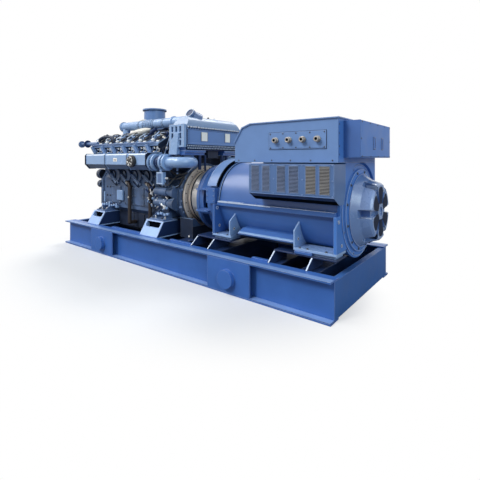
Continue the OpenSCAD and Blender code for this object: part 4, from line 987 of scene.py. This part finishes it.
PULLEY_Y = -0.385
for z, r in ((1.133, 0.08), (0.968, 0.063)):
    on("pulley_rims", "mid").ring((-2.1555, PULLEY_Y, z), X, r - 0.008, r + 0.0015, 0.0, 0.006, 36)
    on("pulley_rims", "mid").ring((-2.2, PULLEY_Y, z), X, r + 0.0004, r + 0.0022, 0.0, 0.008, 36)
SKIRT_ENDS = (0.907, 1.594)
for side in SIDES:
    on("skirt_top_highlights", "light", side).strip(*SKIRT_ENDS, (0.5592, 0.5724), (0.472, 0.614), -0.0008)
    on("skirt_edge_highlights", "edge", side).block(*SKIRT_ENDS, 0.5605 - 0.0007, 0.5605 + 0.0007, 0.5695, 0.5722)
for side in SIDES:
    for look, radius, places in (
            ("light", 0.011, ((-0.754, 1.658), (-0.615, 1.769))),
            ("cream", 0.021, ((-0.6, 1.725), (-0.52, 1.69), (-0.47, 1.66))),
            ("dark_blue", 0.024, ((-0.838, 1.721), (-0.76, 1.775), (-0.684, 1.809)))):
        on("valley_" + look, look, side).pipe([(x, 0.43, z) for x, z in places], radius, 10)
cone = on("pipe_cone_paint", "dark_blue")
cone_foot = bank_frame(-1) @ Vector((-2.4, -0.108, 0.95))
cone.lathe([(0.029, 0.001), (0.0608, 0.0895), (0.0618, 0.0895), (0.03, 0.0)], cone_foot, X, 40, True)
cone.ring(cone_foot, X, 0.027, 0.0618, 0.0902, 0.0912)

for piece in parts.values():
    piece.done()

# Stage: a pale floor that fades, for the camera alone, to white outside an oval round the set

FLOOR_REACH = 40.0
floor_mat = bpy.data.materials.new("studio_floor")
tree = new_tree(floor_mat)
paint = node(tree, "BsdfPrincipled", {
    "Base Color": (0.74, 0.74, 0.75, 1.0), "Roughness": 0.7, "Specular IOR Level": 0.2})
glow = node(tree, "Emission")
place = node(tree, "NewGeometry").outputs["Position"]
oval = node(tree, "VectorMath", {0: place, 1: (0.42, 0.66, 0.0), 2: (0.14, 0.4, 0.0)}, operation="MULTIPLY_ADD")
reach = node(tree, "VectorMath", {0: oval.outputs["Vector"]}, operation="LENGTH").outputs["Value"]
fade = spread(tree, reach, 0.75, 1.25, 0.0, 1.0, interpolation_type="SMOOTHSTEP")
camera_ray = node(tree, "LightPath").outputs["Is Camera Ray"]
seen = node(tree, "Math", {0: fade, 1: camera_ray}, operation="MULTIPLY").outputs["Value"]
blend = node(tree, "MixShader", {"Fac": seen, 1: paint.outputs["BSDF"], 2: glow.outputs["Emission"]})
# Light that bounces off the floor is kept low, so that the undersides stay dark.
dim = node(tree, "BsdfDiffuse", {"Color": (0.24, 0.25, 0.27, 1.0)})
bounce = node(tree, "MixShader", {"Fac": camera_ray, 1: dim.outputs["BSDF"], 2: blend.outputs["Shader"]})
node(tree, "OutputMaterial", {"Surface": bounce.outputs["Shader"]})
floor_mesh = bpy.data.meshes.new("floor")
floor_corners = [(x * FLOOR_REACH, y * FLOOR_REACH, 0) for x, y in ((-1, -1), (1, -1), (1, 1), (-1, 1))]
floor_mesh.from_pydata(floor_corners, [], [(0, 1, 2, 3)])
floor_mesh.materials.append(floor_mat)
floor = bpy.data.objects.new("floor", floor_mesh)
bpy.context.scene.collection.objects.link(floor)

# World: plain soft light, white where the camera or a gloss ray sees it
world = bpy.data.worlds.new("studio")
bpy.context.scene.world = world
tree = new_tree(world)
soft = node(tree, "Background", {"Color": (0.93, 0.96, 1.0, 1.0), "Strength": 0.24})
white = node(tree, "Background", {"Color": (1.0, 1.0, 1.0, 1.0), "Strength": 1.0})
rays = node(tree, "LightPath").outputs
open_ray = node(tree, "Math", {0: rays["Is Camera Ray"], 1: rays["Is Glossy Ray"]}, operation="MAXIMUM")
sky = node(tree, "MixShader", {
    "Fac": open_ray.outputs["Value"], 1: soft.outputs["Background"], 2: white.outputs["Background"]})
node(tree, "OutputWorld", {"Surface": sky.outputs["Shader"]})


def sun(name, toward, strength, spread_angle, colour=(1, 1, 1)):
    """A distant soft lamp that shines from the direction toward."""
    data = bpy.data.lights.new(name, "SUN")
    data.energy = strength
    data.angle = math.radians(spread_angle)
    data.color = colour
    lamp = bpy.data.objects.new(name, data)
    lamp.rotation_euler = Vector(toward).to_track_quat("Z", "Y").to_euler()
    bpy.context.scene.collection.objects.link(lamp)


sun("key_front_left", (-0.28, -0.72, 0.68), 1.9, 18, (1.0, 0.99, 0.97))
sun("sheen_left", (-0.62, -0.35, 0.7), 1.3, 30)
sun("fill_right", (0.85, -0.25, 0.42), 1.3, 40, (0.76, 0.92, 1.0))
sun("back_top", (-0.1, 0.62, 0.77), 1.15, 26)

# Camera: level, as worked out from the photo's parallel edges
PHOTO_PIXELS = 480
FOCAL_PIXELS = 343.6
HORIZON_PIXELS = 80.5
SENSOR_WIDTH = 36.0
camera_data = bpy.data.cameras.new("camera")
camera_data.sensor_width = SENSOR_WIDTH
camera_data.lens = FOCAL_PIXELS / PHOTO_PIXELS * SENSOR_WIDTH
camera_data.shift_y = -HORIZON_PIXELS / PHOTO_PIXELS
camera = bpy.data.objects.new("camera", camera_data)
camera.location = (3.269, -3.504, 1.375)
camera.rotation_euler = (math.radians(90.0), 0.0, math.atan2(0.6208, 0.784))
bpy.context.scene.collection.objects.link(camera)
bpy.context.scene.camera = camera
bpy.context.scene.view_settings.view_transform = "Standard"
